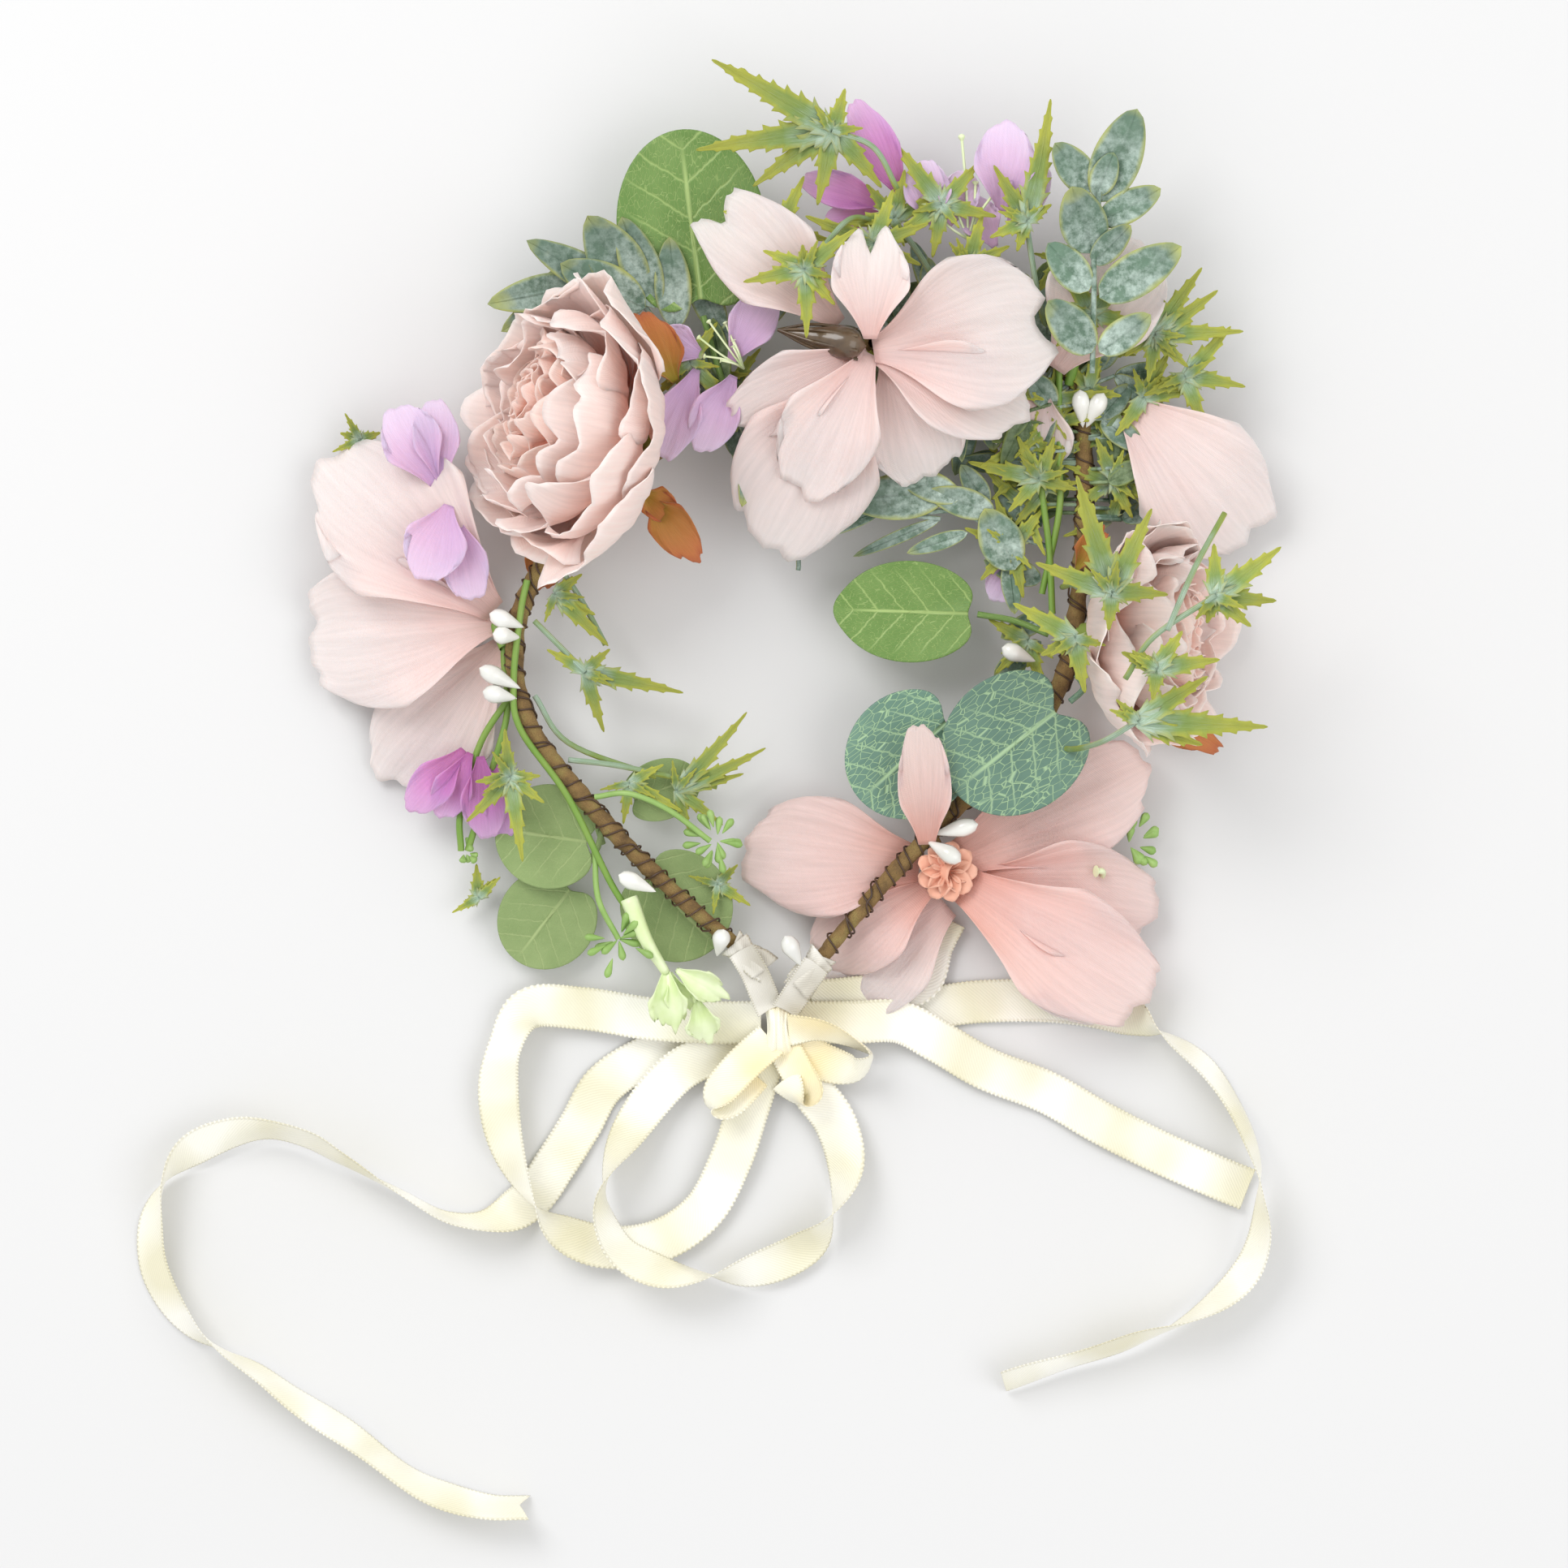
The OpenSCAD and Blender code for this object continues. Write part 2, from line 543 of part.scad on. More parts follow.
module berry_pips_right() { color("#F0F0EE") for (p = right_pips) teardrop(p, pip_r); }
module berry_pips_left() { color("#F0F0EE") for (p = left_pips) teardrop(p, pip_r); }
module bud_spray() {
    color("#8FB85A") {
        for (s = bud_stems) stem(s, bud_stem_r);
        for (p = buds) teardrop(p, bud_r);
    }
}
module bell_spray() {
    color("#D7E6AA") {
        for (s = bell_stems) stem(s, bell_stem_r);
        for (p = bells) teardrop(p, bell_r);
    }
}

module ribbon_knot() {
    color("#F6F0D6") translate(knot_at) rotate([90, 0, 0])
        cylinder(h = 2 * knot_half, r = knot_r, center = true);
}
module bow_loop(p) { translate(p[0]) cube(p[1]); }
module bow_loop_right() { color("#F6F0D6") bow_loop(bow_right); }
module bow_loop_left() { color("#F6F0D6") bow_loop(bow_left); }
module ribbon_loop_outer() { color("#F6F0D6") ribbon(outer_route); }
module ribbon_loop_inner() { color("#F6F0D6") ribbon(inner_route); }
module ribbon_tail_left() { color("#F6F0D6") ribbon(tail_left_route); }
module ribbon_tail_right() { color("#F6F0D6") ribbon(tail_right_route); }
module ribbon_tail_long() { color("#F6F0D6") ribbon(tail_long_route); }
module ribbon_riser() { color("#F6F0D6") ribbon(riser_route); }

hoop_wire_right();
hoop_wire_left();
hoop_tape_right();
hoop_tape_left();
binding_wire_right();
binding_wire_left();
end_tab_right();
end_tab_left();
stem_bundle_right();
stem_bundle_left();
peony_left_petals();
peony_left_core();
peony_left_calyx();
peony_left_stem();
peony_left_sepals();
peony_right_petals();
peony_right_core();
peony_right_calyx();
peony_right_stem();
peony_right_sepals();
blossom_front_petals();
blossom_front_calyx();
blossom_front_stem();
blossom_left_petals();
blossom_left_stem();
blossom_right_petals();
blossom_right_stem();
blossom_tie_petals();
blossom_tie_base();
blossom_tie_stem();
lilac_left();
lilac_middle();
lilac_front();
lilac_low();
eucalyptus_front();
eucalyptus_inner();
eucalyptus_pair();
eucalyptus_low();
boxwood_tall();
boxwood_front();
boxwood_inner();
thistle_front();
thistle_right();
thistle_left();
frond_low();
berry_pips_right();
berry_pips_left();
bud_spray();
bell_spray();
ribbon_knot();
bow_loop_right();
bow_loop_left();
ribbon_loop_outer();
ribbon_loop_inner();
ribbon_tail_left();
ribbon_tail_right();
ribbon_tail_long();
ribbon_riser();
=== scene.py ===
"""The looks of the flower crown: cloth petals, moulded leaves, taped hoop and satin ribbon.

Places and sizes are in millimetres in the frame's own axes, as in part.scad, and Surface.build turns them
into metres. The camera, the lights and the ribbon's routes and width are in metres from the start.
"""

import math
import random

import bpy
import numpy as np
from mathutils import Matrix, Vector


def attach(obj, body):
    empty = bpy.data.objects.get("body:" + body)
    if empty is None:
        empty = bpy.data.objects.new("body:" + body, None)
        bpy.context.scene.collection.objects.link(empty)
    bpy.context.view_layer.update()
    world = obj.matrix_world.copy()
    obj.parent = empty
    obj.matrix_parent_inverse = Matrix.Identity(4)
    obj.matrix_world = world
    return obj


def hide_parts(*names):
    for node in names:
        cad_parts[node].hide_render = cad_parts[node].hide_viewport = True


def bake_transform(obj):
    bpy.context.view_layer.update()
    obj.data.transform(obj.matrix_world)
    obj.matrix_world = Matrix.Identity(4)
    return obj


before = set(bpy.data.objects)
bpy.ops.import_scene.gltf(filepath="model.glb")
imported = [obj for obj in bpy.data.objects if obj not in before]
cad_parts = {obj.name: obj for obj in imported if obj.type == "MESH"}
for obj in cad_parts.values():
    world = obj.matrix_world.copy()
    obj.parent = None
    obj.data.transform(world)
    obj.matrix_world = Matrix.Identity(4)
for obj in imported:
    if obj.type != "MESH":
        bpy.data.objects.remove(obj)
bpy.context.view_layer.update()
rng = random.Random(11)
MM = 0.001
WHOLE_TURN = 2 * math.pi
UP = np.array([0, 0, 1.0])

# The hoop, as in part.scad: its height, the tape's radius, the flex point and the bends of the two arms
HOOP_Z = 16.0
TAPE_R = 2.6
FLEX_AT = (18.0, 92.0)
FLEX_HEADING = 17.0
RIGHT_BENDS = ((90, -37), (16, -65), (290, -14), (60, -39), (487, 10))
LEFT_BENDS = ((184, 34), (48, 77), (340, 14))

# Satin ribbon: its width and thickness in metres, and its edges' picots in each width along it
RIBBON_W = 0.0127
RIBBON_T = 0.00025
PICOTS = 10

# Thicknesses, in millimetres
PETAL_T = 0.25
PEONY_PETAL_T = 0.22
LEAF_T = 0.3
MOULDED_T = 0.35
FOLDED_SATIN_T = 0.3
BOW_T = 0.25
BELL_T = 0.3

# Stem radii, in millimetres
SPRIG_STEM_R = 0.7
LEAF_STEM_R = 0.8
GREEN_STEM_R = 1.0
BLOSSOM_STEM_R = 1.5
TWIG_R = 0.5
BINDING_R = 0.32
PEG_R = 1.2

# The body that each arm's pieces ride on
ARM_BODY = {"left": "left_arm", "right": "hoop"}


# ---------------------------------------------------------------- camera, floor and light

def make_camera():
    """A long lens that looks straight down on the crown as it lies on the floor."""
    centre = Vector((-0.0022, -0.0362, 0.0))
    shown = 0.4637
    data = bpy.data.cameras.new("camera")
    data.lens = 150
    data.sensor_width = 36
    data.clip_start = 0.1
    data.clip_end = 20
    camera = bpy.data.objects.new("camera", data)
    camera.location = centre + Vector((0, 0, shown * data.lens / data.sensor_width + HOOP_Z * MM))
    bpy.context.scene.collection.objects.link(camera)
    bpy.context.scene.camera = camera


def make_floor():
    """A plain pale floor that the crown lies on."""
    material, shader = principled("floor", (0.73, 0.73, 0.73), roughness=0.9)
    shader.inputs["Specular IOR Level"].default_value = 0.1
    bpy.ops.mesh.primitive_plane_add(size=8, location=(0, 0, -0.0005))
    floor = bpy.context.object
    floor.name = "floor"
    floor.data.materials.append(material)


def make_light():
    """Plain white surroundings, a soft key light from the upper left and a weaker fill from the right."""
    world = bpy.data.worlds.new("studio")
    world.use_nodes = True
    background = world.node_tree.nodes["Background"]
    background.inputs["Color"].default_value = (1, 1, 1, 1)
    background.inputs["Strength"].default_value = 0.86
    bpy.context.scene.world = world
    for name, place, size, power in (
        ("key_light", (-0.9, 1.0, 1.5), 1.0, 17.0),
        ("fill_light", (1.2, -0.3, 1.6), 1.4, 9.0),
    ):
        data = bpy.data.lights.new(name, "AREA")
        data.size = size
        data.energy = power
        light = bpy.data.objects.new(name, data)
        light.location = place
        light.rotation_euler = (Vector((0, 0, 0)) - light.location).to_track_quat("-Z", "Y").to_euler()
        bpy.context.scene.collection.objects.link(light)
    bpy.context.scene.view_settings.view_transform = "Standard"


# ---------------------------------------------------------------- materials

def rgb(red, green, blue):
    """A screen colour from 0 to 255 as the linear colour that a shader takes."""
    return tuple(
        (c / 255 / 12.92) if c <= 10 else ((c / 255 + 0.055) / 1.055) ** 2.4 for c in (red, green, blue)
    )


MATERIALS = {}


def principled(name, colour, roughness=0.5, sheen=0.0, coat=0.0):
    """A new material, kept by its name in MATERIALS, and its shader."""
    material = bpy.data.materials.new(name)
    MATERIALS[name] = material
    material.use_nodes = True
    shader = material.node_tree.nodes["Principled BSDF"]
    shader.inputs["Base Color"].default_value = (*colour, 1)
    shader.inputs["Roughness"].default_value = roughness
    shader.inputs["Sheen Weight"].default_value = sheen
    shader.inputs["Coat Weight"].default_value = coat
    return material, shader


class Graph:
    """Short calls for the nodes of one material."""

    def __init__(self, material, shader):
        self.tree = material.node_tree
        self.shader = shader

    def add(self, kind, settings=(), **inputs):
        node = self.tree.nodes.new("ShaderNode" + kind)
        for key, value in dict(settings).items():
            setattr(node, key, value)
        for key, value in inputs.items():
            self.feed(node.inputs[key.replace("_", " ")], value)
        return node

    def feed(self, socket, value):
        if isinstance(value, bpy.types.NodeSocket):
            self.tree.links.new(value, socket)
        else:
            socket.default_value = value

    def math(self, operation, first, second=0.0):
        node = self.add("Math", {"operation": operation})
        for socket, value in zip(node.inputs, (first, second)):
            self.feed(socket, value)
        return node.outputs[0]

    def plus(self, first, second):
        return self.math("ADD", first, second)

    def minus(self, first, second):
        return self.math("SUBTRACT", first, second)

    def times(self, first, second):
        return self.math("MULTIPLY", first, second)

    def shape(self):
        """Where a point is on its petal or leaf: along it from 0 to 1, across it from -1 to 1."""
        uv = self.add("UVMap", {"uv_map": "shape"}).outputs["UV"]
        parts = self.add("SeparateXYZ", Vector=uv)
        return uv, parts.outputs["X"], parts.outputs["Y"]

    def shade(self):
        """Each petal's or leaf's own shade, from 0 to 1."""
        return self.add("Attribute", {"attribute_name": "shade"}).outputs["Fac"]

    def noise(self, vector, scale, detail=3.0, roughness=0.55, stretch=(1, 1, 1)):
        mapped = self.add("Mapping", Vector=vector, Scale=stretch).outputs["Vector"]
        node = self.add("TexNoise", Vector=mapped, Scale=scale, Detail=detail, Roughness=roughness)
        return node.outputs["Fac"]

    def place(self):
        return self.add("TexCoord").outputs["Object"]

    def between(self, value, low, high, to_low=0.0, to_high=1.0):
        """The value's place from low to high, spread from to_low to to_high and held there."""
        node = self.add("MapRange", {"clamp": True})
        limits = {"From Min": low, "From Max": high, "To Min": to_low, "To Max": to_high}
        for key, limit in {"Value": value, **limits}.items():
            self.feed(node.inputs[key], limit)
        return node.outputs["Result"]

    def mix(self, factor, first, second):
        """The first colour at a factor of 0, and the second at 1."""
        node = self.add("Mix", {"data_type": "RGBA"})
        sockets = [s for s in node.inputs if s.enabled and s.type == "RGBA"]
        self.feed([s for s in node.inputs if s.name == "Factor" and s.type == "VALUE"][0], factor)
        for socket, value in zip(sockets, (first, second)):
            self.feed(socket, (*value, 1) if isinstance(value, tuple) and len(value) == 3 else value)
        return [s for s in node.outputs if s.type == "RGBA"][0]

    def ramp(self, value, stops):
        node = self.add("ValToRGB")
        elements = node.color_ramp.elements
        while len(elements) < len(stops):
            elements.new(0.5)
        for element, (position, colour) in zip(elements, stops):
            element.position = position
            element.color = (*colour, 1)
        self.feed(node.inputs["Fac"], value)
        return node.outputs["Color"]

    def brighten(self, colour, value):
        return self.add("HueSaturation", Color=colour, Value=value).outputs["Color"]

    def bump(self, height, strength, distance):
        node = self.add("Bump", Height=height, Strength=strength, Distance=distance)
        self.tree.links.new(node.outputs["Normal"], self.shader.inputs["Normal"])

    def colour(self, socket):
        self.tree.links.new(socket, self.shader.inputs["Base Color"])


def petal_material(name, stops, roughness=0.55, streak=0.10, edge=None):
    """Thin dyed cloth: a gradient from foot to tip, soft streaks along it, a fine weave and a soft sheen."""
    material, shader = principled(name, stops[-1][1], roughness=roughness, sheen=0.35)
    shader.inputs["Sheen Roughness"].default_value = 0.4
    shader.inputs["Specular IOR Level"].default_value = 0.25
    shader.inputs["Subsurface Weight"].default_value = 0.35
    shader.inputs["Subsurface Radius"].default_value = (1.0, 0.55, 0.45)
    shader.inputs["Subsurface Scale"].default_value = 0.004
    g = Graph(material, shader)
    uv, along, across = g.shape()
    streaks = g.noise(uv, 3.0, 4.0, stretch=(0.7, 5.0, 1.0))
    clouds = g.noise(g.place(), 60.0, 2.0)
    position = g.plus(along, g.times(g.minus(clouds, 0.5), 0.35))
    colour = g.ramp(position, stops)
    if edge:
        rim = g.math("MAXIMUM", g.math("ABSOLUTE", across), along)
        rim = g.plus(rim, g.times(clouds, 0.2))
        colour = g.mix(g.between(rim, 0.98, 1.14), colour, edge)
    own_shade = g.times(g.minus(g.shade(), 0.5), 0.12)
    value = g.plus(g.between(streaks, 0.3, 0.7, 1 - streak, 1 + streak / 3), own_shade)
    g.colour(g.brighten(colour, value))
    threads = g.add("TexWave", {"bands_direction": "DIAGONAL"}, Vector=g.place(), Scale=900.0)
    relief = g.plus(streaks, g.times(threads.outputs["Fac"], 0.12))
    g.bump(relief, 0.35, 0.0006)


def veined_leaf_material(name, base, pale, veins, net_scale, net, roughness=0.5):
    """A printed leaf: a net of pale veins between curved side veins and a midrib."""
    material, shader = principled(name, base, roughness=roughness)
    g = Graph(material, shader)
    uv, along, across = g.shape()
    side = g.math("ABSOLUTE", across)
    wobble = g.times(g.minus(g.noise(uv, 6.0), 0.5), 0.05)
    cells = g.add("TexVoronoi", {"feature": "DISTANCE_TO_EDGE"}, Vector=uv, Scale=net_scale)
    net_lines = g.times(g.between(cells.outputs["Distance"], 0.015, 0.06, 1.0, 0.0), net)
    climb = g.minus(g.plus(along, wobble), g.times(side, 0.30))
    ribs = g.between(g.math("PINGPONG", climb, 0.09), 0.0, 0.012, 0.9, 0.0)
    ribs = g.times(ribs, g.between(side, 0.55, 0.9, 1.0, 0.0))
    fade = g.between(along, 0.75, 0.98, 1.0, 0.0)
    midrib = g.times(g.between(side, 0.012, 0.04, 1.0, 0.0), fade)
    lines = g.math("MAXIMUM", g.math("MAXIMUM", net_lines, ribs), midrib)
    clouds = g.noise(g.place(), 90.0)
    ground = g.mix(g.between(clouds, 0.35, 0.7), base, pale)
    value = g.plus(0.9, g.times(g.shade(), 0.2))
    g.colour(g.brighten(g.mix(lines, ground, veins), value))
    g.bump(g.times(lines, -1.0), 0.5, 0.0004)


def frosted_leaf_material(name, base, bloom, rim):
    """A moulded leaf: a dark ground, white bloom in flecks towards the middle, and a bright rim."""
    material, shader = principled(name, base, roughness=0.55)
    g = Graph(material, shader)
    _, along, across = g.shape()
    side = g.math("ABSOLUTE", across)
    flecks = g.noise(g.place(), 420.0, 6.0, 0.7)
    broad = g.noise(g.place(), 110.0, 2.0)
    dusting = g.plus(g.times(flecks, 0.6), g.times(broad, 0.4))
    inward = g.between(along, 0.3, 1.0, 1.0, 0.15)
    dusted = g.times(g.between(dusting, 0.42, 0.62), inward)
    ground = g.mix(g.between(broad, 0.3, 0.7), base, tuple(0.6 * c for c in base))
    colour = g.mix(dusted, ground, bloom)
    edge = g.plus(g.math("MAXIMUM", side, g.times(along, 0.97)),
                  g.times(g.minus(broad, 0.5), 0.5))
    colour = g.mix(g.between(edge, 0.8, 1.05), colour, rim)
    g.colour(g.brighten(colour, g.plus(0.85, g.times(g.shade(), 0.3))))
    midrib = g.between(side, 0.0, 0.12, 1.0, 0.0)
    g.bump(g.plus(g.times(flecks, 0.5), midrib), 0.6, 0.0005)


def star_material():
    """A moulded thistle leaf: white frosting at the star's centre, then green, then yellow tips and teeth."""
    material, shader = principled("thistle_green", rgb(140, 152, 66), roughness=0.5)
    g = Graph(material, shader)
    uv, along, across = g.shape()
    side = g.math("ABSOLUTE", across)
    grain = g.noise(uv, 9.0, 4.0, 0.65, stretch=(0.6, 3.0, 1.0))
    broad = g.noise(g.place(), 120.0, 2.0)
    reach = g.plus(along, g.times(g.minus(broad, 0.5), 0.5))
    colour = g.ramp(reach, ((0.05, rgb(112, 146, 96)), (0.35, rgb(128, 152, 74)), (0.75, rgb(172, 176, 66))))
    colour = g.mix(g.times(g.between(side, 0.55, 0.95), 0.8), colour, rgb(188, 190, 72))
    frost = g.times(g.between(reach, 0.0, 0.34, 0.85, 0.0), g.between(grain, 0.36, 0.54))
    colour = g.mix(frost, colour, rgb(192, 212, 200))
    streaks = g.times(g.between(grain, 0.52, 0.66), g.between(side, 0.2, 0.9, 0.5, 0.0))
    colour = g.mix(streaks, colour, rgb(190, 208, 170))
    g.colour(g.brighten(colour, g.plus(0.82, g.times(g.shade(), 0.34))))
    g.bump(g.plus(grain, g.between(side, 0.0, 0.12, 0.8, 0.0)), 0.6, 0.0005)


def tape_material():
    """Crinkled paper floral tape: brown and olive patches with fine creases along the winding, painted darker
    in the creases' hollows and lighter on their ridges as shade and highlight.
    """
    material, shader = principled("bark_tape", rgb(120, 95, 50), roughness=0.75)
    g = Graph(material, shader)
    uv, _, _ = g.shape()
    patches = g.noise(g.place(), 150.0, 3.0)
    crease_relief_and_shade = g.noise(uv, 260.0, 4.0, 0.65, stretch=(1.0, 0.08, 1.0))
    colour = g.ramp(patches, ((0.25, rgb(98, 74, 46)), (0.5, rgb(150, 120, 72)), (0.75, rgb(164, 148, 86))))
    # Painted shade and highlight: the crease noise darkens the colour in the hollows and lightens it on the
    # ridges.
    g.colour(g.brighten(colour, g.between(crease_relief_and_shade, 0.3, 0.7, 0.65, 1.25)))
    g.bump(crease_relief_and_shade, 0.8, 0.0008)


def plain_material(name, colour, other, roughness, coat=0.0, sheen=0.0):
    """A moulded or coated surface with slight mottling."""
    material, shader = principled(name, colour, roughness=roughness, coat=coat, sheen=sheen)
    g = Graph(material, shader)
    clouds = g.noise(g.place(), 120.0, 3.0)
    mottled = g.mix(g.between(clouds, 0.3, 0.7), colour, other)
    g.colour(g.brighten(mottled, g.plus(0.93, g.times(g.shade(), 0.14))))
    g.bump(clouds, 0.2, 0.0004)


def ribbon_material(name, base, shadow):
    """Satin ribbon: diagonal weave, a corded edge with picots, painted shade between the picots, and painted
    bands of highlight and shade along its run.
    """
    material, shader = principled(name, base, roughness=0.30, sheen=0.2)
    shader.inputs["Anisotropic"].default_value = 0.5
    g = Graph(material, shader)
    uv, along, across = g.shape()
    slant = g.plus(along, g.times(across, 0.5))
    diagonal = g.math("SINE", g.times(slant, 75.0))
    picots = g.math("SINE", g.times(along, WHOLE_TURN * PICOTS))
    edge = g.between(g.math("ABSOLUTE", across), 0.84, 0.92)
    cord_relief = g.times(edge, g.plus(picots, 1.0))
    relief = g.plus(g.times(diagonal, 0.25), cord_relief)
    # Painted highlight and shade: broad bands along the run, between the shadow colour and the lit base
    # colour.
    painted_sheen = g.noise(uv, 0.55, 1.5, 0.4, stretch=(1.0, 0.35, 1.0))
    colour = g.mix(g.between(painted_sheen, 0.36, 0.62), shadow, base)
    colour = g.brighten(colour, g.between(diagonal, -1.0, 1.0, 0.955, 1.03))
    # Painted shade: a darker cream in the gaps between the edge's picots.
    painted_gap_shade = g.times(edge, g.between(picots, -1.0, 1.0, 0.42, 0.0))
    g.colour(g.mix(painted_gap_shade, colour, rgb(190, 182, 142)))
    g.bump(relief, 0.4, 0.00025)


def stops(*places):
    """A ramp's colours from places of (position, red, green, blue)."""
    return tuple((position, rgb(*colour)) for position, *colour in places)


def make_petal_materials():
    """Each cloth's colours run from a petal's foot to its tip."""
    petal_material("peony_outer", stops((0.0, 246, 158, 134), (0.38, 252, 196, 179), (0.68, 255, 226, 217)),
                   edge=rgb(255, 237, 230))
    petal_material("peony_inner", stops((0.0, 246, 150, 126), (0.5, 252, 190, 170), (0.9, 255, 216, 202)),
                   edge=rgb(255, 226, 214))
    petal_material("sepal_orange", stops((0.0, 150, 140, 40), (0.4, 176, 120, 52), (1.0, 196, 106, 58)),
                   edge=rgb(168, 84, 52))
    petal_material("blossom_cloth", stops((0.0, 240, 190, 182), (0.30, 243, 208, 202), (1.0, 243, 226, 221)),
                   roughness=0.45)
    petal_material("tie_cloth", stops((0.0, 232, 160, 146), (0.4, 240, 192, 184), (1.0, 242, 208, 202)),
                   roughness=0.45)
    petal_material("lilac_cloth", stops((0.0, 206, 160, 206), (0.6, 222, 180, 216), (1.0, 234, 204, 234)),
                   streak=0.08)
    petal_material("magenta_cloth", stops((0.0, 176, 92, 158), (0.6, 204, 128, 190), (1.0, 222, 170, 216)),
                   streak=0.12)


def make_leaf_materials():
    """Veined leaves have a ground, a paler ground and veins. Frosted ones have a ground, bloom and a rim."""
    veined_leaf_material("leaf_green", rgb(102, 140, 64), rgb(120, 154, 80), rgb(168, 194, 118),
                         net_scale=23.0, net=0.55)
    veined_leaf_material("leaf_blue", rgb(92, 126, 110), rgb(104, 138, 120), rgb(164, 196, 152),
                         net_scale=12.0, net=0.9)
    veined_leaf_material("leaf_olive", rgb(132, 154, 98), rgb(146, 166, 110), rgb(164, 182, 124),
                         net_scale=18.0, net=0.25, roughness=0.8)
    frosted_leaf_material("leaf_frosted", rgb(94, 122, 102), rgb(180, 198, 188), rgb(166, 172, 96))
    frosted_leaf_material("leaf_dark", rgb(84, 108, 66), rgb(140, 160, 120), rgb(128, 144, 70))
    star_material()


def make_other_materials():
    """Tape, wire, stems and moulded trim, each mottled between two colours, and the ribbons."""
    tape_material()
    plain_material("dark_wire", rgb(62, 44, 32), rgb(88, 64, 46), 0.45)
    plain_material("green_stem", rgb(112, 152, 60), rgb(132, 160, 74), 0.4)
    plain_material("calyx_green", rgb(138, 154, 74), rgb(120, 140, 60), 0.5)
    plain_material("calyx_dark", rgb(70, 54, 40), rgb(112, 92, 66), 0.25, coat=0.5)
    plain_material("peach_base", rgb(224, 160, 132), rgb(240, 184, 160), 0.5, sheen=0.3)
    plain_material("pip_white", rgb(240, 240, 236), rgb(226, 226, 218), 0.22, coat=0.6)
    plain_material("bud_green", rgb(130, 168, 84), rgb(156, 188, 110), 0.45)
    plain_material("bell_pale", rgb(232, 242, 204), rgb(214, 232, 170), 0.3, coat=0.3)
    # Each ribbon's second colour is its painted shade; the knot's and bow's cream ribbon has a golden painted
    # shade.
    ribbon_material("ribbon_cream", rgb(253, 251, 240), rgb(232, 227, 198))
    ribbon_material("ribbon_golden_shade", rgb(255, 252, 234), rgb(250, 234, 186))
    ribbon_material("satin_tab", rgb(238, 235, 226), rgb(196, 190, 176))


# ---------------------------------------------------------------- mesh building

class Surface:
    """Grids of points, in millimetres, that become one mesh. Each grid has its own shade."""

    def __init__(self):
        self.points = []
        self.faces = []
        self.uvs = []
        self.shades = []
        self.count = 0

    def grid(self, points, shade=0.5, along=None, across=None, around=False):
        """Adds rows and columns of points, joined from the last column to the first if it goes around."""
        rows, columns = points.shape[:2]
        u = np.linspace(0, 1, rows)[:, None] if along is None else along
        v = np.linspace(-1, 1, columns)[None, :] if across is None else across
        u, v = np.broadcast_to(u, (rows, columns)), np.broadcast_to(v, (rows, columns))
        index = self.count + np.arange(rows * columns).reshape(rows, columns)
        if around:
            index = np.concatenate([index, index[:, :1]], axis=1)
        corners = [index[:-1, :-1], index[1:, :-1], index[1:, 1:], index[:-1, 1:]]
        self.faces.append(np.stack(corners, axis=-1).reshape(-1, 4))
        self.points.append(points.reshape(-1, 3))
        self.uvs.append(np.stack([u, v], axis=-1).reshape(-1, 2))
        self.shades.append(np.full(rows * columns, shade))
        self.count += rows * columns

    def build(self, name, body, slot, nodes=(), thickness=0.0):
        """Makes the piece, which rides on the body and stands for the CAD nodes."""
        points = np.concatenate(self.points) * MM
        faces = np.concatenate(self.faces)
        uvs = np.concatenate(self.uvs)
        mesh = bpy.data.meshes.new(name)
        mesh.from_pydata(points.tolist(), [], faces.tolist())
        mesh.uv_layers.new(name="shape").data.foreach_set("uv", uvs[faces.reshape(-1)].reshape(-1))
        mesh.attributes.new("shade", "FLOAT", "POINT").data.foreach_set("value", np.concatenate(self.shades))
        mesh.polygons.foreach_set("use_smooth", [True] * len(faces))
        mesh.materials.append(MATERIALS[slot])
        mesh.update()
        piece = bpy.data.objects.new(name, mesh)
        bpy.context.scene.collection.objects.link(piece)
        if thickness:
            solid = piece.modifiers.new("cloth", "SOLIDIFY")
            solid.thickness = thickness * MM
            solid.offset = 0
        if body:
            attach(piece, body)
        if nodes:
            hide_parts(*nodes)
        return piece


def unit(v):
    return v / np.linalg.norm(v)


def towards(turn, rise=0.0):
    """A direction that points along an angle seen from above, and rises."""
    return np.array([math.cos(turn), math.sin(turn), rise])


def unit_rows(vectors):
    return vectors / np.linalg.norm(vectors, axis=1)[:, None]


def run_of(path):
    """The length along a path at each of its points."""
    return np.concatenate([[0], np.cumsum(np.linalg.norm(np.diff(path, axis=0), axis=1))])


def points_at(at, run, path):
    """The points of a path at the given lengths along it."""
    return np.stack([np.interp(at, run, path[:, k]) for k in range(3)], axis=1)


def rows_and_columns(rows, columns):
    """A column of 0 to 1 along a petal and a row of -1 to 1 across it."""
    return np.linspace(0, 1, rows)[:, None], np.linspace(-1, 1, columns)[None, :]


def laid_out(origin, x, along, y, across, z, out):
    """The points x along, y across and z out from the origin."""
    return origin + x[..., None] * along + y[..., None] * across + z[..., None] * out


def axes_from(foot, tip, up=(0, 0, 1), roll=0.0):
    """A leaf's foot, its length, and its directions along, across and out."""
    foot, tip = np.array(foot, float), np.array(tip, float)
    length = np.linalg.norm(tip - foot)
    along = (tip - foot) / length
    across = unit(np.cross(np.array(up, float), along))
    out = np.cross(along, across)
    turn = math.radians(roll)
    across, out = (across * math.cos(turn) + out * math.sin(turn),
                   out * math.cos(turn) - across * math.sin(turn))
    return foot, length, along, across, out


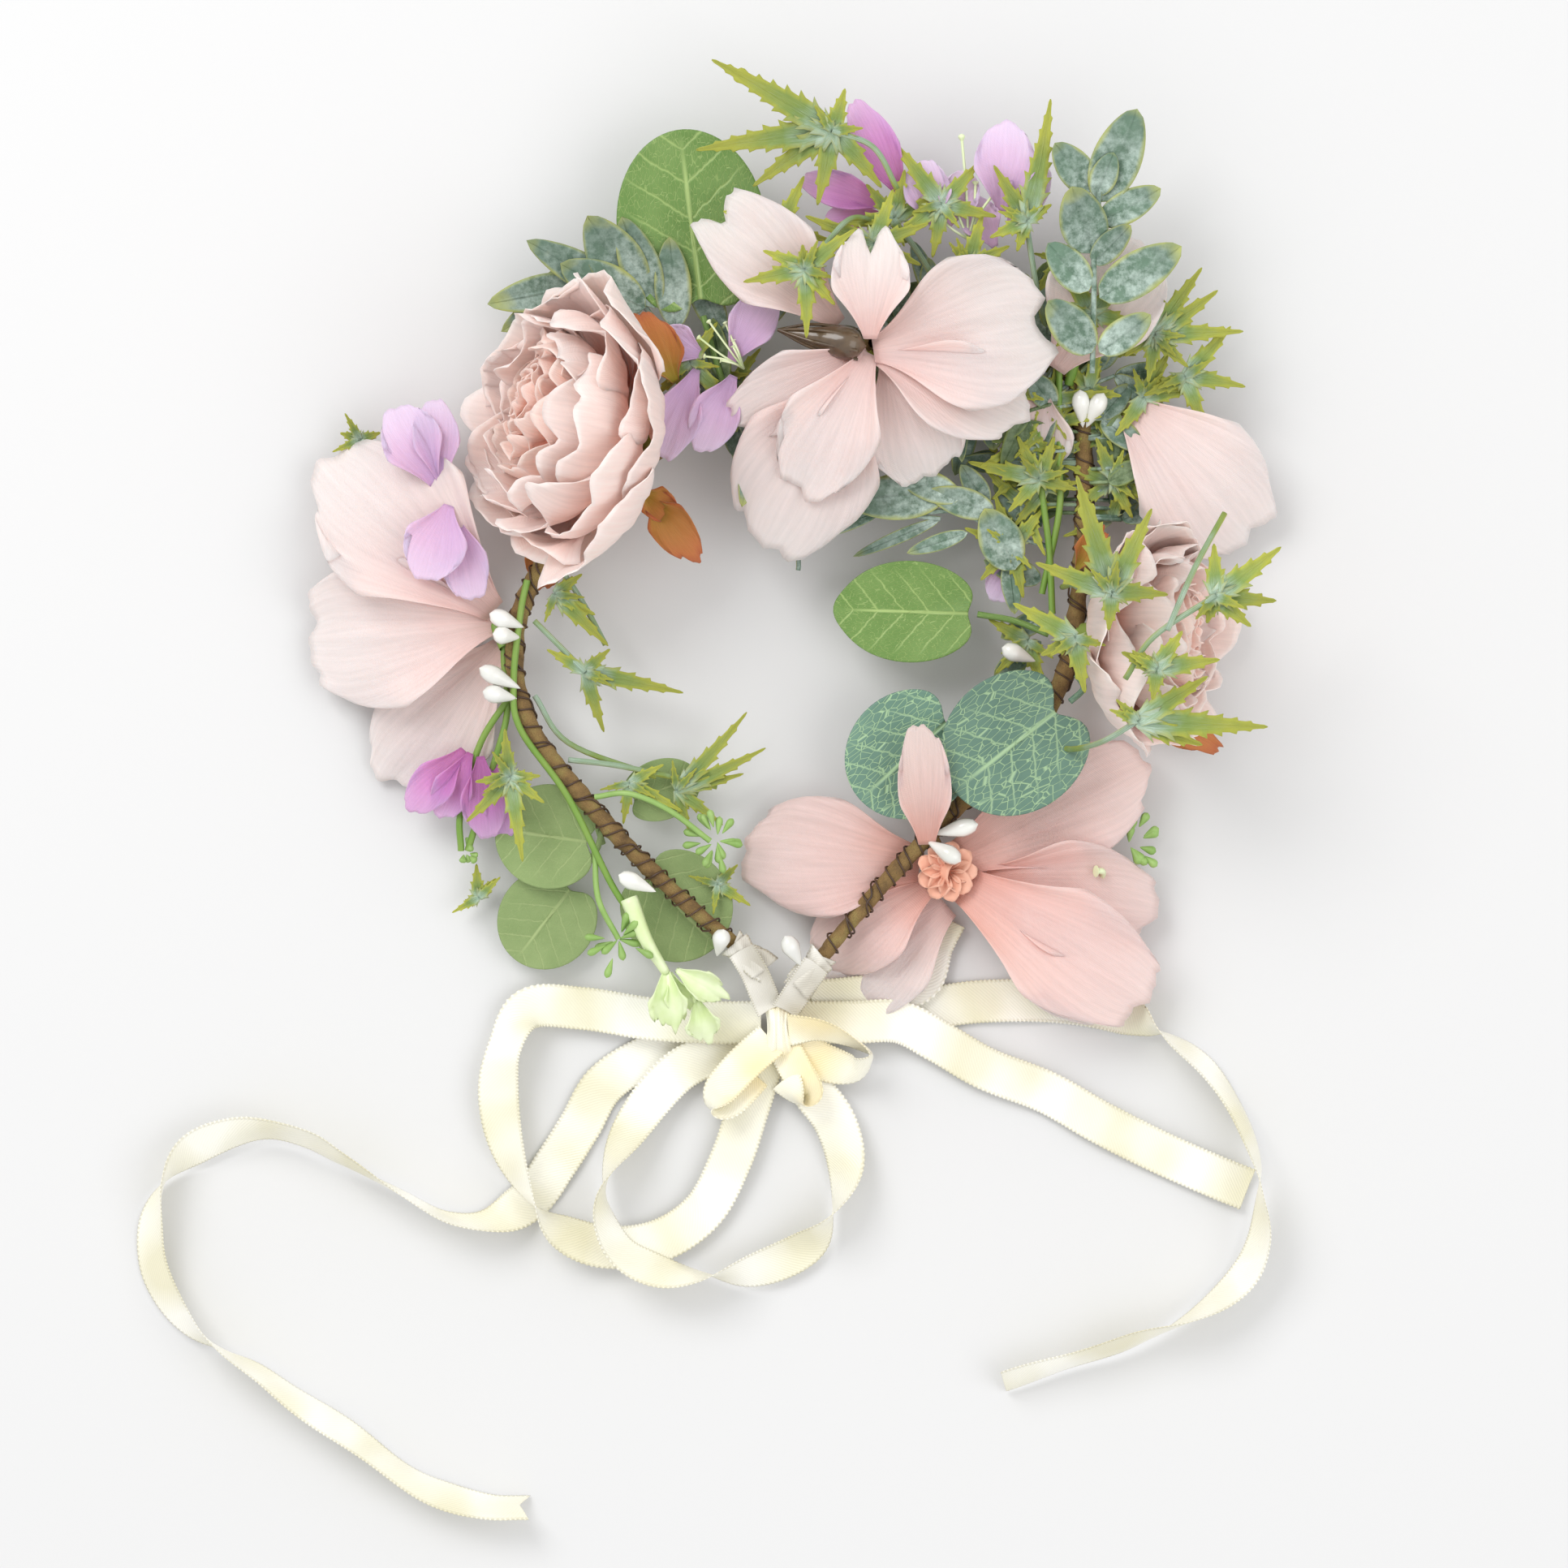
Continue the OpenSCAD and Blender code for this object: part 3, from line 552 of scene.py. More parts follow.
def petal(surface, foot, tip, width, cup=0.18, arch=0.10, ruffle=0.03, notch=0.0, scallop=0.02,
          round_tip=0.55, waist=0.16, rows=22, columns=25):
    """A cloth petal: narrow foot, wide rounded tip, cupped, arched and ruffled."""
    foot, length, along, across, out = axes_from(foot, tip)
    u, v = rows_and_columns(rows, columns)
    wave = [rng.uniform(0, WHOLE_TURN) for _ in range(6)]
    # The outline: how wide it is along its length, and how far its scalloped and notched tip reaches
    profile = waist + (1 - waist) * np.sin(np.minimum(u * 1.12, 1.0) * math.pi / 2) ** 1.25
    profile = profile * (1 - 0.22 * np.clip((u - 0.8) / 0.2, 0, 1) ** 2)
    scallops = np.sin(5 * v + wave[0]) + 0.7 * np.sin(11 * v + wave[1]) + 0.4 * np.sin(23 * v + wave[2])
    edge = 1 + scallop * scallops - notch * np.exp(-(v / 0.16) ** 2)
    drop = round_tip * (1 - np.sqrt(1 - 0.97 * v ** 2))
    x = length * u * (1 - drop * u ** 0.6) * (1 + (edge - 1) * u ** 3)
    y = width / 2 * profile * np.sin(v * math.pi / 2) * (1 + scallop * np.sin(9 * u + wave[3]) * v ** 2)
    # Out of its plane: the cup across it, the arch along it, ripples towards the tip and fine creases
    z = width * cup * (v ** 2) * np.sin(u * math.pi * 0.6) + length * arch * np.sin(math.pi * u)
    ripples = np.sin(3.4 * v + wave[4] + 2 * u) + 0.7 * np.sin(7.3 * v + wave[5] - 3 * u)
    z = z + width * ruffle * u ** 2 * ripples * (0.35 + 0.65 * v ** 2)
    crease = 0.012 * np.sin(17 * v + wave[1]) * np.sin(u * math.pi)
    z = z + width * crease * (0.5 + 0.5 * np.sin(5 * v + wave[2]))
    surface.grid(laid_out(foot, x, along, y, across, z, out), rng.random())


def leaf(surface, foot, tip, width, up=(0, 0, 1), roll=0.0, fold=0.12, curl=-0.05, blunt=0.75):
    """A long leaf, folded along its midrib. blunt near 1 makes it pointed, and less makes it rounder."""
    foot, length, along, across, out = axes_from(foot, tip, up, roll)
    u, v = rows_and_columns(18, 9)
    profile = np.sin(math.pi * u ** 0.85) ** blunt
    x = length * u + 0 * v
    y = width / 2 * profile * v
    z = -width * fold * (1 - np.abs(v)) * profile + length * (0.06 * np.sin(math.pi * u) + curl * u ** 2)
    surface.grid(laid_out(foot, x, along, y, across, z, out), rng.random())


def spiny_leaf(surface, foot, tip, width, teeth, bend=0.0, curl=0.04):
    """One lobe of a thistle leaf: a spear with forward-pointing teeth down both edges."""
    foot, length, along, across, out = axes_from(foot, tip)
    rows_per_tooth = 4
    u = np.linspace(0, 1, teeth * rows_per_tooth + 1)[:, None]
    v = np.array([-1, -0.55, 0, 0.55, 1])[None, :]
    at_edge = np.abs(v) > 0.9
    phase = (u * teeth) % 1.0
    spike = np.where(phase > 0.72, 1.0, phase * 0.45)
    body = (1.02 - u) ** 0.85 * (0.50 + 0.50 * np.minimum(u / 0.22, 1))
    reach = np.where(at_edge, body * (0.72 + 0.34 * spike), body * 0.40 * (v != 0))
    forward = np.where(at_edge, 0.5 * spike / teeth, 0.0)
    x = length * np.minimum(u + forward * (1 - u), 1.0)
    y = width / 2 * reach * np.sign(v) + length * bend * u ** 2
    lift = 0.16 * width * at_edge * spike - 0.10 * width * (v == 0)
    z = lift * body + length * (0.05 * np.sin(math.pi * u) + curl * u ** 2)
    surface.grid(laid_out(foot, x, along, y, across, z, out), rng.random())


def round_leaf(surface, foot, heading, length, width, rise, kidney=0.1, point=0.0):
    """A round or kidney-shaped leaf: its foot, heading in degrees, length, width and its tip's rise."""
    turn = math.radians(heading)
    tip = np.array(foot) + length * towards(turn) + rise * UP
    foot, length, along, across, out = axes_from(foot, tip)
    radius = np.linspace(0, 1, 30)[:, None]
    angle = np.linspace(-math.pi, math.pi, 66)[None, :]
    cleft = kidney * 3 * np.exp(-((np.abs(angle) - math.pi) / 0.35) ** 2)
    rim = 1 - cleft + point * np.exp(-(angle / 0.35) ** 2)
    px = 0.5 + 0.5 * radius * rim * np.cos(angle)
    py = radius * rim * np.sin(angle)
    wave = rng.uniform(0, 6)
    dish = 0.05 * radius ** 2 + 0.02 * radius ** 2 * np.sin(3 * angle + wave)
    z = width * (dish + 0.012 * (np.abs(py) < 0.02))
    points = laid_out(foot, px * length, along, py * width / 2, across, z, out)
    surface.grid(points, rng.random(), px, py)


def smooth_path(points, steps=8):
    """A smooth curve through the points, of any number of values each."""
    p = np.array(points, float)
    p = np.concatenate([[2 * p[0] - p[1]], p, [2 * p[-1] - p[-2]]])
    t = np.linspace(0, 1, steps, endpoint=False)[:, None]
    out = []
    for a, b, c, d in zip(p[:-3], p[1:-2], p[2:-1], p[3:]):
        square = 2 * a - 5 * b + 4 * c - d
        cubic = 3 * b - a - 3 * c + d
        out.append(0.5 * (2 * b + (c - a) * t + square * t ** 2 + cubic * t ** 3))
    return np.concatenate(out + [p[-2:-1]])


def tube(surface, path, radius, sides=8, shade=0.5, ridges=None):
    """A round tube along a path. radius is one value or one for each point."""
    path = np.array(path, float)
    ahead = unit_rows(np.gradient(path, axis=0))
    side = unit_rows(np.cross(ahead, [0.05, 0.02, 1.0]))
    lift = np.cross(side, ahead)
    angle = np.linspace(0, WHOLE_TURN, sides, endpoint=False)[None, :]
    run = run_of(path)
    size = np.broadcast_to(np.array(radius, float), (len(path),))[:, None] * np.ones_like(angle)
    if ridges is not None:
        size = size * ridges(run[:, None], angle)
    spoke = np.cos(angle)[..., None] * side[:, None] + np.sin(angle)[..., None] * lift[:, None]
    points = path[:, None] + size[..., None] * spoke
    tenths_of_metre = run[:, None] * MM * 10
    surface.grid(points, shade, tenths_of_metre, angle / math.pi - 1, around=True)


def teardrop(surface, foot, tip, radius, shade=0.5, blunt=0.62):
    """A glossy pip: pointed at its foot and round at its tip."""
    foot, tip = np.array(foot, float), np.array(tip, float)
    t = np.linspace(0, 1, 12)
    size = radius * np.sqrt(np.clip(1 - ((t - blunt) / np.where(t < blunt, blunt, 1 - blunt)) ** 2, 0, 1))
    size = np.where(t < blunt, size * (0.35 + 0.65 * t / blunt), size) + 0.05
    tube(surface, foot + t[:, None] * (tip - foot), size, 10, shade)


# ---------------------------------------------------------------- hoop

def arm_path(side):
    """The centreline of one arm, from the flex point to its end at the back, in millimetres."""
    bends = RIGHT_BENDS if side == "right" else LEFT_BENDS
    x, y = FLEX_AT
    heading = FLEX_HEADING + (0 if side == "right" else 180)
    points = [(x, y, HOOP_Z)]
    for radius, angle in bends:
        turn = math.copysign(radius, angle)
        steps = max(4, int(abs(radius * math.radians(angle)) / 0.8))
        for k in range(1, steps + 1):
            end = heading + angle * k / steps
            points.append((
                x + turn * (math.sin(math.radians(end)) - math.sin(math.radians(heading))),
                y + turn * (math.cos(math.radians(heading)) - math.cos(math.radians(end))),
                HOOP_Z,
            ))
        x, y, _ = points[-1]
        heading += angle
    return np.array(points)


def wound(run, angle):
    """The tape's winding: a step every few millimetres along, turning round the arm, and some lumps."""
    phase = (run / 5.2 + angle / WHOLE_TURN) % 1.0
    lumps = 0.06 * np.sin(run * 0.41) + 0.04 * np.sin(run * 1.13 + angle)
    return 0.96 + 0.10 * phase + lumps


def winding_wire(surface, path, radius, pitch, start, stop, seed):
    """Thin wire wound round an arm between two shares of its length, with an uneven pitch."""
    run = run_of(path)
    steps_per_turn = 14
    count = int(run[-1] * (stop - start) / pitch * steps_per_turn)
    at = np.linspace(run[-1] * start, run[-1] * stop, count)
    centre = points_at(at, run, path)
    side = np.cross(unit_rows(np.gradient(centre, axis=0)), UP)
    angle = WHOLE_TURN * at / pitch + 1.3 * np.sin(at * 0.23 + seed) + 0.6 * np.sin(at * 0.71 + seed)
    offset = radius * (np.cos(angle)[:, None] * side + np.sin(angle)[:, None] * UP)
    tube(surface, centre + offset, BINDING_R, 5)


def build_hoop(side, body):
    """One taped arm, thinner towards its end, with two layers of binding wire."""
    path = arm_path(side)
    count = len(path)
    thin = np.clip((np.arange(count) / count - 0.75) / 0.25, 0, 1)
    tape = Surface()
    tube(tape, path, TAPE_R * (1 - 0.22 * thin), 20, 0.5, wound)
    tape.build(f"tape_{side}", body, "bark_tape", (f"hoop_tape_{side}", f"hoop_wire_{side}"))
    wire = Surface()
    winding_wire(wire, path, TAPE_R + 0.35, 6.5, 0.02, 0.97, 1.0)
    winding_wire(wire, path, TAPE_R + 0.42, 11.0, 0.35, 0.95, 4.0)
    wire.build(f"winding_{side}", body, "dark_wire", (f"binding_wire_{side}",))


# ---------------------------------------------------------------- ribbon

# The ribbon's stretches, the same as in part.scad, as points of (x, y, z, turn). The turn is about the
# ribbon's own run, in degrees: 0 where it lies flat and 90 where it stands on its edge.
OUTER_ROUTE = (
    (-0.009, -0.107, 0.008, 0), (-0.024, -0.107, 0.007, 0), (-0.042, -0.106, 0.005, 0),
    (-0.062, -0.103, 0.004, 0), (-0.078, -0.103, 0.004, 15), (-0.085, -0.114, 0.005, 35),
    (-0.087, -0.128, 0.005, 20), (-0.084, -0.145, 0.004, 35), (-0.077, -0.16, 0.0035, 82),
    (-0.068, -0.169, 0.003, 140), (-0.055, -0.174, 0.003, 170), (-0.039, -0.172, 0.003, 180),
    (-0.026, -0.163, 0.0035, 180), (-0.018, -0.148, 0.004, 180), (-0.013, -0.133, 0.005, 180),
    (-0.008, -0.117, 0.007, 180),
)
INNER_ROUTE = (
    (-0.008, -0.111, 0.0055, 0), (-0.02, -0.115, 0.0045, 0), (-0.034, -0.122, 0.0035, 0),
    (-0.046, -0.136, 0.002, 25), (-0.054, -0.15, 0.004, 75), (-0.056, -0.162, 0.006, 108),
    (-0.051, -0.174, 0.0065, 132), (-0.041, -0.18, 0.006, 140), (-0.028, -0.182, 0.003, 100),
    (-0.012, -0.181, 0.002, 40), (0.004, -0.174, 0.002, 30), (0.012, -0.164, 0.0025, 85),
    (0.016, -0.15, 0.003, 150), (0.013, -0.137, 0.004, 172), (0.006, -0.127, 0.005, 180),
    (0, -0.117, 0.006, 180),
)
TAIL_LEFT_ROUTE = (
    (-0.009, -0.109, 0.004, 0), (-0.028, -0.112, 0.0016, 0), (-0.044, -0.118, 0.0006, 0),
    (-0.056, -0.126, 0.0006, 0), (-0.063, -0.138, 0.0006, 0), (-0.07, -0.149, 0.0006, 0),
    (-0.078, -0.16, 0.0006, 0), (-0.09, -0.166, 0.0009, 60), (-0.102, -0.165, 0.002, 76),
    (-0.115, -0.158, 0.0032, 90), (-0.133, -0.148, 0.0036, 106), (-0.143, -0.142, 0.0036, 116),
    (-0.155, -0.139, 0.0036, 122), (-0.166, -0.14, 0.003, 134), (-0.178, -0.145, 0.002, 138),
    (-0.186, -0.154, 0.0012, 96), (-0.19, -0.166, 0.0006, 52), (-0.19, -0.178, 0.0006, 42),
    (-0.186, -0.188, 0.001, 48), (-0.178, -0.198, 0.002, 64), (-0.168, -0.205, 0.003, 88),
    (-0.158, -0.211, 0.003, 108), (-0.147, -0.219, 0.0025, 118), (-0.132, -0.229, 0.0025, 120),
    (-0.114, -0.242, 0.002, 118), (-0.102, -0.248, 0.0012, 122), (-0.09, -0.251, 0.0008, 122),
    (-0.079, -0.251, 0.0006, 120),
)
TAIL_RIGHT_ROUTE = (
    (0.001, -0.107, 0.008, 0), (0.018, -0.107, 0.007, 0), (0.032, -0.107, 0.005, 0),
    (0.044, -0.113, 0.0035, 0), (0.058, -0.121, 0.0025, 0), (0.076, -0.128, 0.002, 0),
    (0.092, -0.137, 0.002, 0), (0.11, -0.146, 0.002, 0), (0.126, -0.153, 0.002, 0),
    (0.136, -0.157, 0.002, 0),
)
TAIL_LONG_ROUTE = (
    (0.001, -0.105, 0.0045, 0), (0.02, -0.104, 0.0024, 0), (0.04, -0.103, 0.001, 0),
    (0.057, -0.101, 0.0006, 0), (0.078, -0.101, 0.0006, 0), (0.097, -0.104, 0.0008, 10),
    (0.107, -0.109, 0.0025, 70), (0.113, -0.112, 0.0035, 100), (0.124, -0.121, 0.0025, 118),
    (0.133, -0.134, 0.002, 112), (0.138, -0.148, 0.0062, 102), (0.139, -0.158, 0.0065, 88),
    (0.139, -0.172, 0.004, 60), (0.133, -0.184, 0.002, 50), (0.118, -0.195, 0.0025, 86),
    (0.1, -0.202, 0.002, 112), (0.079, -0.209, 0.0015, 118), (0.063, -0.214, 0.0006, 120),
)
RISER_ROUTE = (
    (0.006, -0.101, 0.0065, 0), (0.024, -0.099, 0.004, 0), (0.038, -0.095, 0.003, 0),
    (0.042, -0.084, 0.0025, 0), (0.046, -0.076, 0.0025, 0),
)


def strip(surface, route, width=RIBBON_W, v_cut=0.0, ripple=0.0, bowed=0.0005):
    """A flat ribbon along its route of (x, y, z, turn). Returns its centreline and its length.

    A turned stretch stands on its lower edge, and past 90 degrees it shows its other face."""
    fine = smooth_path(route, 40)
    mid = fine[:, :3].copy()
    turn = np.radians(fine[:, 3])
    mid[:, 2] += width / 2 * np.abs(np.sin(turn))
    ahead = np.gradient(mid, axis=0)
    level = unit_rows(np.stack([-ahead[:, 1], ahead[:, 0], 0 * ahead[:, 0]], axis=1))
    side = level * np.cos(turn)[:, None] + UP * np.sin(turn)[:, None]
    run = run_of(mid)
    spacing = 0.00032
    even = np.arange(0, run[-1], spacing)
    mid, side = points_at(even, run, mid), points_at(even, run, side)
    ahead = unit_rows(np.gradient(mid, axis=0))
    out = np.cross(ahead, side)
    across = np.array([-1, -0.92, -0.75, -0.5, -0.25, 0, 0.25, 0.5, 0.75, 0.92, 1.0])
    picot = 1 + 0.028 * np.sin(even / width * PICOTS * WHOLE_TURN)
    reach = np.where(np.abs(across)[None, :] > 0.95, picot[:, None], 1.0) * across[None, :]
    bow = bowed * (across[None, :] ** 2 - 0.5) + ripple * np.sin(even[:, None] * 160 + 2.2 * across[None, :])
    points = mid[:, None] + reach[..., None] * side[:, None] * width / 2 + bow[..., None] * out[:, None]
    if v_cut:
        share = np.clip((even - even[-1] + 3 * v_cut) / (3 * v_cut), 0, 1)[:, None]
        points += (share * v_cut * (np.abs(across)[None, :] - 0.6))[..., None] * ahead[:, None]
    points[..., 2] = np.maximum(points[..., 2], RIBBON_T)
    surface.grid(points / MM, 0.5, (even / width)[:, None], across[None, :])
    return mid, float(run[-1])


def ribbon(name, route, node, v_cut=0.0):
    """One stretch of ribbon."""
    surface = Surface()
    mid, length = strip(surface, route, v_cut=v_cut, ripple=0.0004)
    piece = surface.build(name, "hoop", "ribbon_cream", (node,), RIBBON_T / MM)


def build_ribbons():
    """The loops and tails, and the riser that belongs to the long tail."""
    surface = Surface()
    strip(surface, RISER_ROUTE)
    riser = surface.build("ribbon_rise", "hoop", "ribbon_cream", ("ribbon_riser",), RIBBON_T / MM)
    ribbon("ribbon_outer", OUTER_ROUTE, "ribbon_loop_outer")
    ribbon("ribbon_inner", INNER_ROUTE, "ribbon_loop_inner")
    ribbon("ribbon_left", TAIL_LEFT_ROUTE, "ribbon_tail_left", 0.003)
    ribbon("ribbon_right", TAIL_RIGHT_ROUTE, "ribbon_tail_right")
    ribbon("ribbon_long", TAIL_LONG_ROUTE, "ribbon_tail_long")


def build_knot():
    """A pleated satin band that wraps over the middle of the bow."""
    knot = Surface()
    t = np.linspace(-1, 1, 41)[:, None]
    v = np.linspace(-1, 1, 33)[None, :]
    pleat = 0.45 * np.sin(9 * v + 1.5 * t) + 0.25 * np.sin(17 * v + 1.0)
    x = -4 + v * (3.9 - 0.8 * np.cos(math.pi * t)) + 0 * t
    y = -108.5 + 8.2 * np.sin(t * math.pi / 2) + 0 * v
    z = 7 + 6.4 * np.cos(t * math.pi / 2) * np.sqrt(1 - 0.55 * v ** 2) - 1.6 * np.abs(v) ** 3 + pleat
    knot.grid(np.stack([x, y, z], axis=-1), 0.5, t * 1.2 + 3, 0.8 * v)
    knot.build("knot_wrap", "hoop", "ribbon_golden_shade", ("ribbon_knot",), FOLDED_SATIN_T)


def build_bow():
    """The small loops beside the knot: one on its right and two on its left."""
    right = Surface()
    strip(right, ((-0.001, -0.109, 0.009, 30), (0.008, -0.109, 0.011, 55), (0.017, -0.112, 0.010, 75),
                  (0.0235, -0.1165, 0.007, 92), (0.019, -0.121, 0.006, 130), (0.010, -0.119, 0.006, 165),
                  (0.001, -0.114, 0.008, 180)), 0.0115, ripple=0.0004)
    right.build("bow_right", "hoop", "ribbon_golden_shade", ("bow_loop_right",), BOW_T)
    left = Surface()
    strip(left, ((-0.006, -0.112, 0.010, 0), (-0.014, -0.119, 0.011, 8), (-0.021, -0.127, 0.009, 30),
                 (-0.0235, -0.1325, 0.006, 88), (-0.019, -0.131, 0.006, 140), (-0.011, -0.122, 0.007, 175)),
          0.011, ripple=0.0004)
    strip(left, ((-0.002, -0.115, 0.008, 0), (0.002, -0.122, 0.009, 10), (0.006, -0.128, 0.007, 50),
                 (0.003, -0.131, 0.006, 100), (-0.002, -0.124, 0.007, 165)), 0.010, ripple=0.0004)
    left.build("bow_left", "hoop", "ribbon_golden_shade", ("bow_loop_left",), BOW_T)


# Where the satin from each arm's end meets the knot
STRAP_ENDS = {"left": (-6.0, -103.5, 11.0), "right": (-2.0, -103.5, 12.0)}


def end_tab(side, body):
    """The satin folded over one arm's end, the taped loop inside it, and the strap to the knot."""
    path = arm_path(side)
    end, ahead = path[-1], unit(path[-1] - path[-6])
    level = np.array([-ahead[1], ahead[0], 0])
    tab = Surface()
    for width, lift, skew in ((9.5, 0.4, 0.25), (8.5, -0.2, -0.3)):
        u, v = rows_and_columns(15, 13)
        x = -5 + 12 * u + skew * 4 * v
        y = width / 2 * v * (1 - 0.35 * np.exp(-((u - 0.35) / 0.2) ** 2))
        z = 3.4 * np.sqrt(1 - 0.8 * v ** 2) * (1 - 0.5 * u) + lift + 0.35 * np.sin(7 * v + 3 * u)
        for flip in (1, -1):
            tab.grid(laid_out(end, x, ahead, y, level, flip * z, UP), 0.5, u * 1.1, v)
    tab.build(f"tab_{side}", body, "satin_tab", (f"end_tab_{side}",), FOLDED_SATIN_T)
    knot = np.array(STRAP_ENDS[side])
    reach = knot - end
    loop = Surface()
    shares = ((0.35, 1.6), (0.72, 1.2), (0.8, 0.0), (0.72, -1.2), (0.35, -1.6))
    middle = [end + reach * share + level * aside for share, aside in shares]
    tube(loop, smooth_path((end - ahead * 4, *middle, end - ahead * 4), 8), 1.15, 10, 0.5, wound)
    strap = Surface()
    route = (end - ahead * 2 + 3.6 * UP, end + reach * 0.3 + 2.6 * UP, end + reach * 0.65 + 2 * UP, knot)
    lean = 12 if side == "left" else -12
    strip(strap, [(*(p * MM), lean) for p in route], 0.0085, ripple=0.0003, bowed=0.0012)
    for surface, name, slot, thickness in (
        (loop, "end_loop", "bark_tape", 0), (strap, "strap", "satin_tab", BOW_T),
    ):
        if side == "left":
            piece = surface.build(f"{name}_left", None, slot, (), thickness)
            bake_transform(piece)
        else:
            surface.build(f"{name}_right", "hoop", slot, (), thickness)


# ---------------------------------------------------------------- flowers

# The two peonies, as in part.scad: the peg's foot on the hoop, its tilt from upright and its heading, and the
# head's radius
PEGS = {
    "left": ((-38.0, 66.0, HOOP_Z), 48.0, 176.0, 42.0),
    "right": ((81.0, 9.0, HOOP_Z), 55.0, -3.0, 34.0),
}
# How far up the peg the petals start, and how far the innermost petals lean and turn from the peg's direction
PETALS_FROM = 14.1
HEAD_LEAN = 48.0
HEAD_TURN = {"left": -20.0, "right": 8.0}


def peg_axes(tilt, heading):
    """The direction of a peg and two directions square to it."""
    t, h = math.radians(tilt), math.radians(heading)
    axis = np.array([math.sin(t) * math.cos(h), math.sin(t) * math.sin(h), math.cos(t)])
    first = unit(np.cross(UP, axis))
    return axis, first, np.cross(axis, first)


def bowl_petal(surface, base, axes, turn, radius, depth, half_span, end, flare, ruffle):
    """One petal of a peony: part of a bowl round the flower's axis, with a ruffled and scalloped tip.

    end is the angle round the bowl from its bottom, in degrees: over 90 the petal closes over the heart."""
    axis, first, second = axes
    u, v = rows_and_columns(20, 27)
    wave = [rng.uniform(0, WHOLE_TURN) for _ in range(7)]
    tip = 1 - 0.26 * np.abs(v) ** 3 + 0.045 * np.sin(4.5 * v + wave[0]) + 0.014 * np.sin(13 * v + wave[1])
    tip = tip - 0.09 * np.exp(-((v - rng.uniform(-0.4, 0.4)) / 0.10) ** 2)
    angle = np.radians(6 + (end - 6) * u * (1 + (tip - 1) * u ** 2))
    widening = 0.35 + 0.65 * np.sin(np.minimum(1.25 * u, 1) * math.pi / 2)
    azimuth = turn + math.radians(half_span) * v * widening
    rim = np.clip((u - 0.62) / 0.38, 0, 1) ** 2
    ripple = np.sin(3.2 * v + wave[2] + u) + 0.5 * np.sin(6.4 * v + wave[3] - 2 * u)
    ripple = ripple + 0.10 * np.sin(17 * v + wave[4])
    crease = 0.012 * np.sin(15 * v + wave[5]) * np.sin(math.pi * u) + 0.01 * np.sin(31 * v + wave[6]) * u
    belly = 0.07 * (1 - v ** 2) * np.sin(math.pi * u)
    reach = radius * (np.sin(angle) + flare * rim + ruffle * rim * ripple + belly + crease)
    height = depth * (1 - np.cos(angle)) + radius * ruffle * 0.8 * rim * np.sin(6 * v + wave[4])
    radial = np.cos(azimuth)[..., None] * first + np.sin(azimuth)[..., None] * second
    surface.grid(base + height[..., None] * axis + reach[..., None] * radial, rng.random())


# The layers of a peony, from the outside in: shares of its radius for the layer's radius and its rise up the
# axis, the end angle, the number of petals, the half span of each in degrees, flare and ruffle
OUTER_LAYERS = (
    (0.94, 0.00, 84, 5, 45, 0.05, 0.09),
    (0.86, 0.05, 93, 5, 45, 0.05, 0.11),
    (0.73, 0.13, 100, 5, 46, 0.03, 0.12),
    (0.60, 0.22, 105, 5, 47, 0.02, 0.13),
)
INNER_LAYERS = (
    (0.47, 0.33, 106, 5, 46, 0.03, 0.13),
    (0.35, 0.45, 106, 5, 48, 0.05, 0.14),
    (0.24, 0.57, 102, 5, 50, 0.07, 0.17),
    (0.15, 0.68, 96, 4, 56, 0.10, 0.20),
    (0.07, 0.77, 90, 4, 60, 0.12, 0.24),
)


def build_peony_petals(side, body):
    """Layers of petals that lean further over the nearer they are to the heart."""
    foot, tilt, heading, radius = PEGS[side]
    base = np.array(foot) + peg_axes(tilt, heading)[0] * PETALS_FROM
    for name, slot, node, layers in (
        ("ruffles", "peony_outer", "petals", OUTER_LAYERS),
        ("heart", "peony_inner", "core", INNER_LAYERS),
    ):
        surface = Surface()
        for share, rise, end, count, span, flare, ruffle in layers:
            axes = peg_axes(tilt + HEAD_LEAN * (1 - share), heading + HEAD_TURN[side] * (1 - share))
            start = rng.uniform(0, WHOLE_TURN)
            for k in range(count):
                turn = start + WHOLE_TURN * k / count + rng.uniform(-0.14, 0.14)
                wide = radius * share * rng.uniform(0.96, 1.05)
                deep = radius * share * 0.78
                bowl_petal(surface, base + axes[0] * radius * rise, axes, turn, wide, deep, span,
                           end + rng.uniform(-7, 5), flare, ruffle)
        surface.build(f"peony_{side}_{name}", body, slot, (f"peony_{side}_{node}",), PEONY_PETAL_T)


def build_peony_cup(side, body):
    """The green cup with its five small leaves, which turns with the head, and the fixed peg in it."""
    foot, tilt, heading, _ = PEGS[side]
    axis, first, second = peg_axes(tilt, heading)
    cup = Surface()
    at = np.linspace(0, 1, 9)[:, None]
    tube(cup, np.array(foot) + axis * (6 + 8.2 * at), 2.6 + 3.4 * at[:, 0] ** 1.6, 16)
    for k in range(5):
        turn = WHOLE_TURN * k / 5
        radial = math.cos(turn) * first + math.sin(turn) * second
        start = np.array(foot) + axis * 12.5 + radial * 4
        leaf(cup, start, start + radial * 14 + axis * 4, 9, up=axis, fold=-0.1, curl=0.1)
    cup.build(f"peony_{side}_cup", body, "calyx_green", (f"peony_{side}_calyx",))
    peg = Surface()
    tube(peg, np.array(foot) + axis * np.linspace(2, 13.8, 6)[:, None], PEG_R, 10)
    peg.build(f"peony_{side}_peg", ARM_BODY[side], "green_stem", (f"peony_{side}_stem",))


